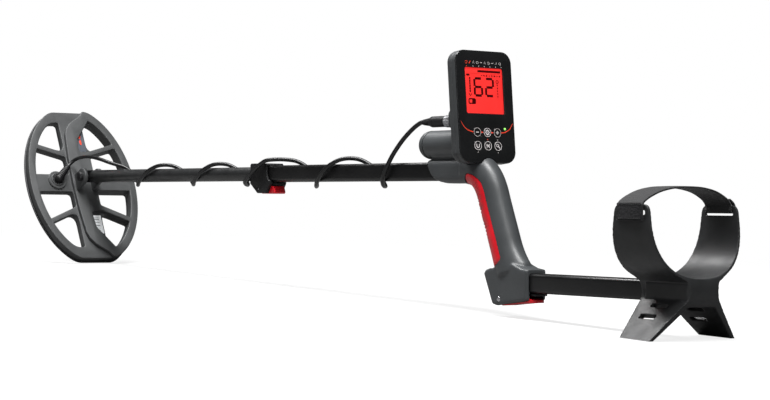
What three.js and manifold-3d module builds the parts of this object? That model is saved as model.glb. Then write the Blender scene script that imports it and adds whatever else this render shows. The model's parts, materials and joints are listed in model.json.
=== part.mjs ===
// Collapsible metal detector with an S-shaped shaft: tilting search coil, telescopic front and rear
// shafts with cam-lever locks, pistol grip, control pod on top, battery barrel under it, and an arm cuff
// that doubles as a stand.
//
// Every part is drawn in the shaft frame: origin on the coil hinge axis, X back along the front shaft
// towards the user, Y to the user's right, Z up. The last lines stand the object on the floor and centre
// it on its own box. Millimetres throughout.
import * as THREE from 'three';
import { mergeVertices } from 'three/addons/utils/BufferGeometryUtils.js';
import Module from 'manifold-3d';

const wasm = await Module();
wasm.setup();

// ---------- Driving dimensions ----------

const GAP = 0.3;                       // clearance between fitted pieces
const FLOOR_SLOPE = 1.934;             // degrees between the front shaft and the floor it stands on

// Search coil, in its own frame: origin on the hinge axis, toe towards -X, Z square to the coil.
const COIL_TILT = 63.55;               // degrees, from lying along the shaft to the standing pose
const COIL_HALF_WIDTH = 88.5;
const COIL_ELLIPSE = 134;              // half length of the ellipse that the blunt ends cut short
const COIL_END = 126;                  // half length to the blunt ends
const RAISED_TOP = -21.3;              // top of the raised D
const LOWER_TOP = -27.4;               // top of the lower D
const SHELL_BOTTOM = -37.9;
const COVER_BOTTOM = -40.4;
const SKID_BOTTOM = -43.4;
const RING_WIDTH = 12;                 // rim at the sides; the blunt ends are wider
const RING_END_WIDTH = 19;
const RAISED_END_WIDTH = 13;           // the raised D leaves a ledge at its ends
const SPINE_HALF = 20;
const RIB_WIDTH = 8;
const PLATEAU = [-50, 43];             // the stretch of the spine that is raised from side to side
const MID_BAR = { x: -2, width: 30 };  // the bar that carries the cable boss and its twin
const BOSS = { x: -5.9, y: -43.5, radius: 15 };
const EAR_INNER = 10.2;
const EAR_OUTER = 15.6;
const EAR_RADIUS = 12.3;
const BOLT_HEAD_OUTER = 21.4;

// Tubes.
const LOWER_TUBE_RADIUS = 9.6;
const TUBE_SIDE = 22.2;                // the two square tubes
const TUBE_CORNER = 4.5;
const TUBE_WALL = 1;
const LOWER_TUBE_START = 14.3;
const LOWER_TUBE_END = 612;
const MID_TUBE_START = 512.3;
const MID_TUBE_END = 950;
const REAR_TUBE_Z = -127.5;
const REAR_TUBE_START = 1003;
const REAR_TUBE_END = 1326;

// Front clamp.
const COLLAR_START = 482;
const COLLAR_HALF = 14;
const FRONT_PIN = { x: 503, z: -20, radius: 1.5 };
const FRONT_CAM_RADIUS = 4.2;

// Handle.
const GRIP = { side: 17, deep: 20 };    // half axes of the grip's oval section
const GRIP_INSERT_SPREAD = 100;        // degrees to each side of the grip's front
const SHELL_WALL = 3;
const SLEEVE_SIDE = 29;
const BARREL = { z: 32, radius: 17.3, bore: 15.9, front: 857.5, joint: 872, back: 953 };
const HOUSING_HALF = 15;
const REAR_PIN = { x: 1018.5, z: -147, radius: 3 };
const SCREW_PLACES = [[905, 13.7], [1006, -68]];

// Control pod, in its own frame: origin at the middle of its face, X out of the face towards the user.
const POD = { x: 973, z: 75, lean: 5.79, width: 83.2, height: 132, corner: 14 };
const POD_RIM_BACK = -8;
const POD_BACK = -20;
const SCREEN = { y: 0, z: 18.8, width: 56, height: 54 };
const KEY_RADIUS = 5.7;
const KEY_ROWS = [-30.3, -46];
const KEY_PITCH = 14.9;
const SOCKET = { z: 60, boot: 853, plug: 869.3, ring: 899.5, neck: 912, hump: 926 };

// Arm cuff.
const CUFF_CENTRE_Z = -52.5;
const CUFF_INNER = 61.3;
const CUFF_WALL = 3;
const CUFF_TOP = -37.8;
const FOOT_Z = -177;
const FOOT_OUT = [59.4, 65];           // inner and outer edge of each leg below the floor line
const HUB_UNDER = -143;
const STRAP_WIDTH = 38.6;
const STRAP_THICK = 2.1;
const STRAP_MIDDLE = 1293;

const CABLE_RADIUS = 2.75;

// ---------- Geometry helpers ----------

const rad = THREE.MathUtils.degToRad;

function toSolid(geometry) {
  const bare = geometry.clone();
  bare.deleteAttribute('normal');
  bare.deleteAttribute('uv');
  const merged = mergeVertices(bare, 1e-4);
  return new wasm.Manifold(new wasm.Mesh({
    numProp: 3,
    vertProperties: new Float32Array(merged.attributes.position.array),
    triVerts: new Uint32Array(merged.index.array),
  }));
}

function toGeometry(solid) {
  const mesh = solid.getMesh();
  const geometry = new THREE.BufferGeometry();
  geometry.setAttribute('position', new THREE.BufferAttribute(new Float32Array(mesh.vertProperties), 3));
  geometry.setIndex(new THREE.BufferAttribute(new Uint32Array(mesh.triVerts), 1));
  geometry.computeVertexNormals();
  return geometry;
}

function join(...geometries) {
  return toGeometry(geometries.map(toSolid).reduce((whole, next) => whole.add(next)));
}

function cut(body, ...tools) {
  return toGeometry(tools.map(toSolid).reduce((whole, next) => whole.subtract(next), toSolid(body)));
}

function common(body, other) {
  return toGeometry(toSolid(body).intersect(toSolid(other)));
}

const TURN_TO_XZ = new THREE.Matrix4().makeBasis(
  new THREE.Vector3(1, 0, 0), new THREE.Vector3(0, 0, 1), new THREE.Vector3(0, -1, 0));
const TURN_TO_YZ = new THREE.Matrix4().makeBasis(
  new THREE.Vector3(0, 1, 0), new THREE.Vector3(0, 0, 1), new THREE.Vector3(1, 0, 0));

function extrude(shape, depth, segments, bevel) {
  const options = { depth, curveSegments: segments, steps: 1, bevelEnabled: false };
  if (bevel) {
    Object.assign(options, {
      depth: depth - 2 * bevel, bevelEnabled: true, bevelThickness: bevel, bevelSize: bevel,
      bevelOffset: -bevel, bevelSegments: 2,
    });
  }
  return new THREE.ExtrudeGeometry(shape, options).translate(0, 0, bevel || 0);
}

// A flat shape made solid from one height to another along Z, Y or X.
function alongZ(shape, from, to, { segments = 5, bevel = 0 } = {}) {
  return extrude(shape, to - from, segments, bevel).translate(0, 0, from);
}

function alongY(shape, from, to, { segments = 5, bevel = 0 } = {}) {
  return extrude(shape, to - from, segments, bevel).applyMatrix4(TURN_TO_XZ).translate(0, to, 0);
}

function alongX(shape, from, to, { segments = 5, bevel = 0 } = {}) {
  return extrude(shape, to - from, segments, bevel).applyMatrix4(TURN_TO_YZ).translate(from, 0, 0);
}

function box(x0, x1, y0, y1, z0, z1) {
  return new THREE.BoxGeometry(x1 - x0, y1 - y0, z1 - z0)
    .translate((x0 + x1) / 2, (y0 + y1) / 2, (z0 + z1) / 2);
}

function polygon(points) {
  return new THREE.Shape(points.map(([a, b]) => new THREE.Vector2(a, b)));
}

function disc(a, b, radius) {
  return new THREE.Shape().absarc(a, b, radius, 0, 2 * Math.PI, false);
}

// A regular outline of so many points; radius may be a function of the point's number.
function around(count, radius) {
  const reach = typeof radius === 'function' ? radius : () => radius;
  return polygon(Array.from({ length: count }, (_, i) => {
    const angle = 2 * Math.PI * i / count;
    return [reach(i) * Math.cos(angle), reach(i) * Math.sin(angle)];
  }));
}

function rounded(width, height, corner, a = 0, b = 0) {
  const w = width / 2 - corner;
  const h = height / 2 - corner;
  const shape = new THREE.Shape();
  shape.absarc(a + w, b + h, corner, 0, Math.PI / 2, false);
  shape.absarc(a - w, b + h, corner, Math.PI / 2, Math.PI, false);
  shape.absarc(a - w, b - h, corner, Math.PI, 1.5 * Math.PI, false);
  shape.absarc(a + w, b - h, corner, 1.5 * Math.PI, 2 * Math.PI, false);
  shape.closePath();
  return shape;
}

function ring(outer, inner) {
  outer.holes.push(inner);
  return outer;
}

// A turned piece about the X axis, from [x, radius] points that close on the axis or on themselves.
function turned(points, segments = 20) {
  const profile = points.map(([x, r]) => new THREE.Vector2(r, x));
  return new THREE.LatheGeometry(profile, segments).rotateZ(-Math.PI / 2);
}

function swept(points, shape, steps, segments = 3) {
  const curve = new THREE.CatmullRomCurve3(points, false, 'centripetal');
  return new THREE.ExtrudeGeometry(shape, { extrudePath: curve, steps, curveSegments: segments });
}

const COLOURS = {
  coil: [0x515253, 0.6, 0], skid: [0x3c3d3e, 0.65, 0], copper: [0xb5703c, 0.35, 0.9],
  darkTube: [0x2c2d2f, 0.4, 0.2], tube: [0x0b0c0d, 0.35, 0.5], plastic: [0x161718, 0.5, 0],
  handle: [0x46494b, 0.5, 0], red: [0xc8102a, 0.45, 0], steel: [0xc0c2c4, 0.25, 1],
  gloss: [0x090909, 0.15, 0], glass: [0x301010, 0.05, 0], screen: [0xff3a34, 0.4, 0],
  board: [0x1c5a36, 0.6, 0], rubber: [0x141414, 0.8, 0], cell: [0x8d9094, 0.35, 0.6],
  webbing: [0x0c0c0d, 0.9, 0], green: [0x62d84a, 0.3, 0],
};

function piece(name, geometry, finish) {
  const [color, roughness, metalness] = COLOURS[finish];
  const mesh = new THREE.Mesh(geometry, new THREE.MeshStandardMaterial({ color, roughness, metalness }));
  mesh.name = name;
  return mesh;
}

// ---------- Search coil ----------

function coilOutline(inset) {
  const a = COIL_ELLIPSE - inset;
  const b = COIL_HALF_WIDTH - inset;
  return bluntEllipse(a, b, COIL_END - inset);
}

// An ellipse with half axes a and b whose ends are cut flat at x = +-end and rounded into the sides.
function bluntEllipse(a, b, end) {
  const turn = Math.acos((end - 7) / a);
  const x = a * Math.cos(turn);
  const y = b * Math.sin(turn);
  const corner = y - (end - x) * (b * b * x) / (a * a * y);
  const shape = new THREE.Shape();
  shape.absellipse(0, 0, a, b, turn, Math.PI - turn, false);
  shape.quadraticCurveTo(-end, corner, -end, corner - 8);
  shape.lineTo(-end, 8 - corner);
  shape.quadraticCurveTo(-end, -corner, -x, -y);
  shape.absellipse(0, 0, a, b, Math.PI + turn, 2 * Math.PI - turn, false);
  shape.quadraticCurveTo(end, -corner, end, 8 - corner);
  shape.lineTo(end, corner - 8);
  shape.quadraticCurveTo(end, corner, x, y);
  return shape;
}

// A bar along a polyline, drawn in the plane of the coil.
function bar(points, width, from, to) {
  const [first, ...rest] = points.map(([x, y]) => new THREE.Vector2(x, y));
  const runs = rest.map((next, i) => {
    const start = i === 0 ? first : rest[i - 1];
    const along = next.clone().sub(start);
    const middle = start.clone().add(next).multiplyScalar(0.5);
    return new THREE.BoxGeometry(along.length() + width * 0.3, width, to - from)
      .rotateZ(along.angle()).translate(middle.x, middle.y, (from + to) / 2);
  });
  return runs.length === 1 ? runs[0] : join(...runs);
}

function ribRoutes(side) {
  return [
    [[-50, 0], [-51, 20 * side], [-69, 78 * side]],
    [[42, 0], [42.5, 20 * side], [68, 78 * side]],
  ];
}

// The open windows of the coil: the inside of the rim, less the spine, the middle bars and the four ribs.
function coilWindows(from, to, slim) {
  const opening = bluntEllipse(
    COIL_END - 7 + slim, COIL_HALF_WIDTH - RING_WIDTH + slim, COIL_END - RING_END_WIDTH + slim);
  const ribs = [-1, 1].flatMap((side) => ribRoutes(side))
    .map((route) => bar(route.slice(1), RIB_WIDTH - slim, from - 1, to + 1));
  const half = MID_BAR.width / 2 - slim;
  const bars = [
    box(-COIL_END, COIL_END, -SPINE_HALF + slim, SPINE_HALF - slim, from - 1, to + 1),
    box(MID_BAR.x - half, MID_BAR.x + half, -90, 90, from - 1, to + 1),
  ];
  return cut(alongZ(opening, from, to, { segments: 7 }), ...ribs, ...bars);
}

// Everything on the lower D's side of the raised D's edge; shift moves the edge towards +Y.
function beyondRaisedEdge(shift, from, to) {
  const edge = new THREE.Shape();
  edge.moveTo(-140, -100);
  edge.lineTo(140, -100);
  edge.lineTo(140, 34 + shift);
  edge.lineTo(118, 17 + shift);
  edge.quadraticCurveTo(98, -12 + shift, 84, -15 + shift);
  edge.quadraticCurveTo(0, -24 + shift, -84, -15 + shift);
  edge.quadraticCurveTo(-98, -12 + shift, -118, 17 + shift);
  edge.lineTo(-140, 34 + shift);
  return alongZ(edge, from, to, { segments: 6 });
}

// A D-shaped band that follows the rim and the spine, for a winding and for the groove it lies in.
function windingBand(side, inset, width, from, to) {
  const loop = (edge, margin) => cut(
    alongZ(coilOutline(edge), from - margin, to + margin, { segments: 7 }),
    side > 0
      ? beyondRaisedEdge(edge, from - 2 * margin - 1, to + 2 * margin + 1)
      : box(-140, 140, SPINE_HALF - edge, 100, from - 2 * margin - 1, to + 2 * margin + 1));
  return cut(loop(inset, 0), loop(inset + width, 1));
}

function raisedLayer() {
  const [from, to] = [LOWER_TOP - 1, RAISED_TOP];
  const inside = bluntEllipse(COIL_END - 7, COIL_HALF_WIDTH - RING_WIDTH, COIL_END - RAISED_END_WIDTH);
  const ribs = ribRoutes(1).map((route) => bar(route.slice(1), RIB_WIDTH, from - 2, to + 2));
  const midBar = [MID_BAR.x - MID_BAR.width / 2, MID_BAR.x + MID_BAR.width / 2];
  const recess = cut(
    alongZ(inside, from - 1, to + 1, { segments: 7 }), beyondRaisedEdge(20, from - 2, to + 2),
    box(...PLATEAU, -1, SPINE_HALF, from - 2, to + 2), box(...midBar, 0, 90, from - 2, to + 2), ...ribs);
  return cut(
    alongZ(coilOutline(0), from, to, { segments: 7 }), beyondRaisedEdge(0, from - 1, to + 1), recess);
}

function ear(side) {
  const foot = RAISED_TOP - 1;
  const shape = new THREE.Shape();
  shape.moveTo(-14, foot);
  shape.lineTo(14, foot);
  shape.lineTo(EAR_RADIUS, 0);
  shape.absarc(0, 0, EAR_RADIUS, 0, Math.PI, false);
  shape.lineTo(-14, foot);
  const [from, to] = side < 0 ? [-EAR_OUTER, -EAR_INNER] : [EAR_INNER, EAR_OUTER];
  return alongY(shape, from, to, { segments: 7 });
}

function boltBore(radius) {
  return alongY(disc(0, 0, radius), -40, 40, { segments: 6 });
}

function coilTopShell() {
  const base = alongZ(coilOutline(0), SHELL_BOTTOM, LOWER_TOP, { segments: 7 });
  const boss = alongZ(disc(BOSS.x, BOSS.y, BOSS.radius), LOWER_TOP - 1, LOWER_TOP + 3, { segments: 7 });
  const openBase = cut(base, coilWindows(SHELL_BOTTOM - 1, LOWER_TOP + 1, 0));
  const body = join(openBase, raisedLayer(), boss, ear(-1), ear(1));
  return cut(
    body,
    windingBand(-1, 2.7, 7.6, SHELL_BOTTOM - 1, SHELL_BOTTOM + 6.4),
    windingBand(1, 2.7, 7.6, SHELL_BOTTOM - 1, RAISED_TOP - 2.6),
    boltBore(3.3));
}

function coilPlate(inset, slim, from, to) {
  return cut(alongZ(coilOutline(inset), from, to, { segments: 7 }), coilWindows(from - 1, to + 1, slim));
}

function cableBoot(start, end, startRadius, endRadius, ribs) {
  const length = start.distanceTo(end);
  const points = [[0, 0], [0, startRadius]];
  const step = length / (2 * ribs);
  for (let i = 1; i < 2 * ribs; i += 1) {
    const radius = THREE.MathUtils.lerp(startRadius, endRadius, i / (2 * ribs));
    points.push([i * step, radius - (i % 2 ? 0 : 0.7)]);
  }
  points.push([length, endRadius], [length, 0]);
  const boot = turned(points, 12);
  const direction = end.clone().sub(start).normalize();
  const turn = new THREE.Quaternion().setFromUnitVectors(new THREE.Vector3(1, 0, 0), direction);
  return boot.applyQuaternion(turn).translate(start.x, start.y, start.z);
}

const BOOT_START = new THREE.Vector3(BOSS.x, BOSS.y, LOWER_TOP + 7.5);
const BOOT_TIP = new THREE.Vector3(-24.5, -26.4, -14);

function cableGland() {
  const away = BOOT_TIP.clone().sub(BOOT_START).normalize();
  const turn = new THREE.Quaternion().setFromUnitVectors(new THREE.Vector3(1, 0, 0), away);
  const face = box(3.4, 30, -20, 20, -20, 20).applyQuaternion(turn)
    .translate(BOOT_START.x, BOOT_START.y, BOOT_START.z);
  const hood = new THREE.SphereGeometry(6.4, 14, 9).translate(BOOT_START.x, BOOT_START.y, BOOT_START.z);
  return cut(hood, face, box(-40, 40, -80, 0, -40, LOWER_TOP + 3 + GAP));
}

function coilPieces() {
  const group = new THREE.Group();
  const bootStart = BOOT_START.clone().lerp(BOOT_TIP, 3.8 / BOOT_START.distanceTo(BOOT_TIP));
  group.add(
    piece('coil_top_shell', coilTopShell(), 'coil'),
    piece('coil_bottom_cover', coilPlate(0.6, 1, COVER_BOTTOM, SHELL_BOTTOM - GAP), 'skid'),
    piece('skid_plate', coilPlate(-1, 2, SKID_BOTTOM, COVER_BOTTOM - GAP), 'skid'),
    piece('transmit_winding', windingBand(-1, 3, 7, SHELL_BOTTOM, SHELL_BOTTOM + 6), 'copper'),
    piece('receive_winding', windingBand(1, 3, 7, SHELL_BOTTOM + 6.8, RAISED_TOP - 3), 'copper'),
    piece('coil_cable_gland', cableGland(), 'plastic'),
    piece('coil_cable_boot', cableBoot(bootStart, BOOT_TIP, 4.8, 3.4, 5), 'rubber'),
    piece('coil_bolt', join(
      alongY(disc(0, 0, 6.8), -BOLT_HEAD_OUTER, -EAR_OUTER - GAP, { segments: 6 }),
      alongY(disc(0, 0, 3), -EAR_OUTER - 1, BOLT_HEAD_OUTER - 1, { segments: 6 })), 'plastic'),
    piece('coil_bolt_nut', cut(
      alongY(around(6, 7), EAR_OUTER + GAP, BOLT_HEAD_OUTER), boltBore(3.3)), 'plastic'),
  );
  group.rotation.y = rad(COIL_TILT);
  return group;
}

// ---------- Lower shaft ----------

function washer(side) {
  const [from, to] = side < 0 ? [-EAR_INNER + GAP, -7.3] : [7.3, EAR_INNER - GAP];
  return alongY(ring(disc(0, 0, 8.8), disc(0, 0, 3.4)), from, to, { segments: 6 });
}

function tubeEndFitting() {
  const tongue = new THREE.Shape();
  tongue.moveTo(13, -9.2);
  tongue.lineTo(13, 9.2);
  tongue.lineTo(0, 9.2);
  tongue.absarc(0, 0, 9.2, Math.PI / 2, 1.5 * Math.PI, false);
  tongue.closePath();
  const plug = turned([
    [11.5, 0], [11.5, LOWER_TUBE_RADIUS], [14, LOWER_TUBE_RADIUS], [14, 8.2], [42, 8.2], [42, 0]]);
  return cut(join(alongY(tongue, -7, 7, { segments: 7 }), plug), boltBore(3.4));
}

function lowerShaftPieces() {
  const wall = ring(disc(0, 0, LOWER_TUBE_RADIUS), disc(0, 0, LOWER_TUBE_RADIUS - TUBE_WALL));
  return [
    piece('lower_tube', alongX(wall, LOWER_TUBE_START, LOWER_TUBE_END, { segments: 12 }), 'darkTube'),
    piece('tube_end_fitting', tubeEndFitting(), 'plastic'),
    piece('hinge_washer_left', washer(-1), 'rubber'),
    piece('hinge_washer_right', washer(1), 'rubber'),
  ];
}

// ---------- Square tubes ----------

function squareTube(start, end, z) {
  const inner = TUBE_SIDE - 2 * TUBE_WALL;
  const outside = rounded(TUBE_SIDE, TUBE_SIDE, TUBE_CORNER, 0, z);
  return alongX(ring(outside, rounded(inner, inner, TUBE_CORNER - 1, 0, z)), start, end, { segments: 3 });
}

function squareChannel(start, end, z, side = TUBE_SIDE + 2 * GAP) {
  return alongX(rounded(side, side, TUBE_CORNER, 0, z), start, end, { segments: 3 });
}

function tubePlug(inside, outside) {
  const inner = TUBE_SIDE - 2 * TUBE_WALL - 2 * GAP;
  const lid = Math.sign(outside - inside) * (2.7 + GAP);
  const face = outside - lid;
  const between = (shape, a, b) => alongX(shape, Math.min(a, b), Math.max(a, b), { segments: 2 });
  const flange = rounded(TUBE_SIDE, TUBE_SIDE, TUBE_CORNER, 0, REAR_TUBE_Z);
  const body = rounded(inner, inner, TUBE_CORNER - 1, 0, REAR_TUBE_Z);
  return join(
    between(flange, face + Math.sign(lid) * GAP, outside), between(body, inside, face + Math.sign(lid)));
}

// ---------- Front clamp ----------

function frontCollar() {
  const outline = polygon([
    [482, 12], [484, 14], [521, 14], [523, 12], [523, 1], [525.5, -7], [530, -9.5], [530, -13],
    [521, -26], [500, -26], [482, -13]]);
  const tongue = box(525, 538, -7.5, 7.5, -15.4, -11.7);
  return cut(
    join(alongY(outline, -COLLAR_HALF, COLLAR_HALF, { bevel: 1.2 }), tongue),
    alongX(disc(0, 0, LOWER_TUBE_RADIUS + GAP), COLLAR_START - 2, MID_TUBE_START + 2, { segments: 12 }),
    squareChannel(MID_TUBE_START - GAP, 580, 0),
    box(495.5, 510.5, -7.3, 7.3, -20, -5),
    box(495.5, 540, -8.9, 8.9, -30, -15.7),
    alongY(disc(FRONT_PIN.x, FRONT_PIN.z, FRONT_PIN.radius + GAP), -20, 20));
}

function frontLever() {
  const outline = polygon([
    [500, -24.2], [505, -26.6], [534, -26.6], [536, -24.5], [532.5, -16.4], [522, -16.4], [513, -21],
    [503, -19]]);
  const cam = alongY(disc(FRONT_PIN.x, FRONT_PIN.z, FRONT_CAM_RADIUS), -8.6, 8.6);
  return cut(
    join(alongY(outline, -8.6, 8.6), cam),
    box(517, 530.5, -5.8, 5.8, -24, -10),
    alongY(disc(FRONT_PIN.x, FRONT_PIN.z, FRONT_PIN.radius + GAP), -20, 20));
}

// ---------- Handle ----------

const GRIP_PATH = [
  [944, 4.6], [957, 3.2], [968, -1.2], [978.5, -10], [986.5, -22], [993.5, -39], [1001.5, -58], [1010, -78],
  [1018.5, -99], [1025.5, -118],
].map(([x, z]) => new THREE.Vector3(x, 0, z));

// The grip's oval section grown by a margin, from one angle to another; 90 degrees is its front.
function gripOval(shape, margin, start, end) {
  return shape.absellipse(0, 0, GRIP.side + margin, GRIP.deep + margin, rad(start), rad(end), end < start);
}

function gripTube(margin, segments = 8) {
  return swept(GRIP_PATH, gripOval(new THREE.Shape(), margin, 0, 360), 14, segments);
}

// The band round the grip's front and sides that the fingers close on.
function gripBand(inner, outer, spread) {
  const shape = new THREE.Shape();
  gripOval(shape, outer, 90 - spread, 90 + spread);
  gripOval(shape, inner, 90 + spread, 90 - spread);
  shape.closePath();
  const slack = (outer - inner) * 0.15;
  return common(
    swept(GRIP_PATH, shape, 14, 5),
    alongY(polygon([
      [950 - slack, -8 + slack], [962, -8 + slack], [1001 + slack, 6], [1040 + slack, -108 - slack],
      [990, -108 - slack], [950 - slack, -40]]), -30, 30));
}

function housingOutline() {
  return polygon([
    [989, -118.5], [992, -114], [1006, -110], [1044, -105], [1056, -110.5], [1068, -112], [1068, -146.5],
    [1061, -148.4], [1012, -154.6], [1005, -153]]);
}

function leverPocket() {
  return box(1008, 1080, -10.3, 10.3, -160, REAR_TUBE_Z - TUBE_SIDE / 2 + 2);
}

function alongBarrel(radius, from, to, segments = 10) {
  return alongX(disc(0, BARREL.z, radius), from, to, { segments });
}

function handleBody() {
  const sleeve = alongX(rounded(SLEEVE_SIDE, SLEEVE_SIDE, 7), 876, 962, { segments: 3 });
  const slant = alongY(polygon([
    [860, 20], [876, 20], [877, 12], [881, 4], [888, -4], [898, -11], [910, -20], [860, -20]]), -30, 30);
  const outer = join(
    cut(sleeve, slant),
    alongBarrel(BARREL.radius, BARREL.joint + GAP, BARREL.back),
    box(886, 953, -9, 9, 12, 24),
    gripTube(0),
    alongY(housingOutline(), -HOUSING_HALF, HOUSING_HALF, { bevel: 2.5 }));
  const hollow = join(
    squareChannel(870, MID_TUBE_END + 0.6, 0),
    alongBarrel(BARREL.bore, BARREL.joint - 1, BARREL.back - 1.2),
    common(gripTube(-SHELL_WALL - 1), box(955, 1100, -30, 30, -112, 2)));
  const posts = SCREW_PLACES.map(([x, z], i) => alongY(disc(x, z, i === 0 ? 2.3 : 4.2), -14, 14));
  const postsInside = common(join(...posts), outer);
  const shaped = cut(
    join(cut(outer, hollow), postsInside), squareChannel(980, 1100, REAR_TUBE_Z), leverPocket(),
    alongY(disc(REAR_PIN.x, REAR_PIN.z, REAR_PIN.radius + GAP), -20, 20), podSeat(),
    gripBand(-1.2, 6, GRIP_INSERT_SPREAD + 1));
  return SCREW_PLACES.reduce((body, [x, z]) => cut(
    body, alongY(disc(x, z, 1.4), -9, 20), alongY(disc(x, z, 3), 11, 20)), shaped);
}

function screw([x, z]) {
  return join(alongY(disc(x, z, 2.6), 11.4, 13.6), alongY(disc(x, z, 1.2), -8, 12));
}

function batteryCap() {
  const front = BARREL.front;
  return turned([
    [front, 0], [front, 5], [front + 1, 9], [front + 3, 12.6], [front + 6, 15.2], [front + 10, 16.8],
    [front + 13, BARREL.radius], [BARREL.joint, BARREL.radius], [BARREL.joint, 15.6],
    [BARREL.joint + 6, 15.6], [BARREL.joint + 6, 14.5], [front + 9, 14.5], [front + 4.6, 12],
    [front + 4.6, 0]]).translate(0, 0, BARREL.z);
}

const CELL = { radius: 5.2, y: 6, length: 44.4, first: 862.4, second: 907.1 };

function cell(side, start) {
  const end = start + CELL.length - 1;
  const body = alongX(disc(side * CELL.y, BARREL.z, CELL.radius), start, end, { segments: 6 });
  const tip = alongX(disc(side * CELL.y, BARREL.z, 1.9), start + CELL.length - 2, start + CELL.length);
  return join(body, tip);
}

function batteryCarrier() {
  const trough = common(
    alongBarrel(BARREL.bore - GAP, 879, 948), box(860, 960, -20, 20, BARREL.z - 20, BARREL.z - 1.5));
  return cut(trough, ...[-1, 1].map((side) => (
    alongX(disc(side * CELL.y, BARREL.z, CELL.radius + GAP), 860, 960, { segments: 6 }))));
}

function rearLever() {
  const outline = polygon([
    [1013.6, -148], [1015.5, -153], [1020, -154.4], [1056, -150.6], [1074, -149.4], [1074, -146.4],
    [1065, -144.8], [1055, -146.8], [1022, -150], [1018, -147]]);
  const plan = alongZ(rounded(100, 19.8, 7, 1024, 0), -160, -138, { segments: 4 });
  const cam = alongY(disc(REAR_PIN.x, REAR_PIN.z, 4.9), -9.9, 9.9);
  return cut(
    common(join(alongY(outline, -9.9, 9.9), cam), plan),
    alongY(disc(REAR_PIN.x, REAR_PIN.z, REAR_PIN.radius + GAP), -20, 20));
}

function handlePieces() {
  const body = handleBody();
  return [
    piece('handle_left_shell', common(body, box(800, 1200, -60, -GAP / 2, -200, 100)), 'handle'),
    piece('handle_right_shell', common(body, box(800, 1200, GAP / 2, 60, -200, 100)), 'handle'),
    piece('grip_insert', gripBand(-0.9, 0.7, GRIP_INSERT_SPREAD), 'red'),
    ...SCREW_PLACES.map((place, i) => piece(`handle_screw_${i + 1}`, screw(place), 'steel')),
    piece('mid_tube', squareTube(MID_TUBE_START, MID_TUBE_END, 0), 'tube'),
    piece('front_clamp_collar', frontCollar(), 'plastic'),
    piece('front_clamp_pad', box(496, 510, -7, 7, -15.4, -LOWER_TUBE_RADIUS - GAP), 'rubber'),
    piece('front_lever_pin', alongY(disc(FRONT_PIN.x, FRONT_PIN.z, FRONT_PIN.radius), -13.8, 13.8), 'steel'),
    piece('front_lever', frontLever(), 'red'),
    piece('rear_clamp_pad', box(1011, 1077, -8.5, 8.5, -141.7, -138.9), 'plastic'),
    piece('rear_lever_pin', alongY(disc(REAR_PIN.x, REAR_PIN.z, REAR_PIN.radius), -15.2, 15.2), 'steel'),
    piece('rear_lever', rearLever(), 'red'),
    piece('battery_cap', batteryCap(), 'handle'),
    piece('battery_carrier', batteryCarrier(), 'plastic'),
    ...[-1, 1].flatMap((side) => [CELL.first, CELL.second].map((start, row) => (
      piece(`battery_cell_${side < 0 ? 'left' : 'right'}_${row + 1}`, cell(side, start), 'cell')))),
  ];
}

// ---------- Control pod ----------

function podOutline(inset) {
  return rounded(POD.width - 2 * inset, POD.height - 2 * inset, POD.corner - inset);
}

function keyPlaces() {
  return KEY_ROWS.flatMap((z) => [-1, 0, 1].map((column) => [column * KEY_PITCH, z]));
}

function podFrontCover() {
  const tray = cut(
    alongX(podOutline(0), POD_RIM_BACK, 0, { segments: 4 }),
    alongX(podOutline(2.4), POD_RIM_BACK - 1, -2.2, { segments: 4 }));
  const keyHoles = keyPlaces().map(([y, z]) => alongX(disc(y, z, KEY_RADIUS + GAP), -10, 2, { segments: 6 }));
  return cut(
    tray, alongX(rounded(SCREEN.width, SCREEN.height, 2, SCREEN.y, SCREEN.z), -10, 2, { segments: 2 }),
    alongX(disc(27.1, -25.4, 1.6), -10, 2, { segments: 4 }), ...keyHoles);
}

function podBackShell() {
  const block = alongX(podOutline(0), POD_BACK, 0, { segments: 4, bevel: 5 });
  const front = box(POD_RIM_BACK - GAP, 10, -60, 60, -80, 80);
  const hump = intoPod(alongX(rounded(40, 22.6, 6, 0, SOCKET.z + 1.3), SOCKET.hump, 956, { segments: 3 }));
  const socketBore = intoPod(alongX(disc(0, SOCKET.z, 6.7), SOCKET.hump - 1, 956, { segments: 8 }));
  const inside = alongX(podOutline(2.4), POD_BACK + 2.4, 10, { segments: 4 });
  return cut(join(block, hump), front, inside, socketBore);
}

// The room in the handle for the pod's lower end and for its bracket.
function podSeat() {
  return fromPod(join(box(-20, -4, -14.5, 14.5, -71, -60), box(-21, 0.6, -43, 43, -66.6, -50)));
}

function fromPod(geometry) {
  return geometry.rotateY(rad(-POD.lean)).translate(POD.x, 0, POD.z);
}

function intoPod(geometry) {
  return geometry.translate(-POD.x, 0, -POD.z).rotateY(rad(POD.lean));
}

function coilSocket() {
  const { z, neck, hump } = SOCKET;
  return turned([
    [904, 0], [904, 6.2], [neck, 6.2], [neck, 8.4], [hump - GAP, 8.4], [hump - GAP, 6.2], [945, 6.2],
    [945, 0]])
    .translate(0, 0, z);
}

function cablePlug() {
  const { z, plug, ring: start } = SOCKET;
  return turned([
    [plug, 0], [plug, 5.6], [plug + 1.7, 6.7], [start - GAP, 6.7], [start - GAP, 6.1], [903.6, 6.1],
    [903.6, 0]])
    .translate(0, 0, z);
}

function lockRing() {
  const knurled = around(40, (i) => (i % 2 ? 7.5 : 7.1));
  return alongX(ring(knurled, disc(0, 0, 6.6)), SOCKET.ring, SOCKET.neck - GAP).translate(0, 0, SOCKET.z);
}

const KEY_NAMES = ['minus', 'mode', 'plus', 'all_metal', 'reject', 'pinpoint'];

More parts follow.
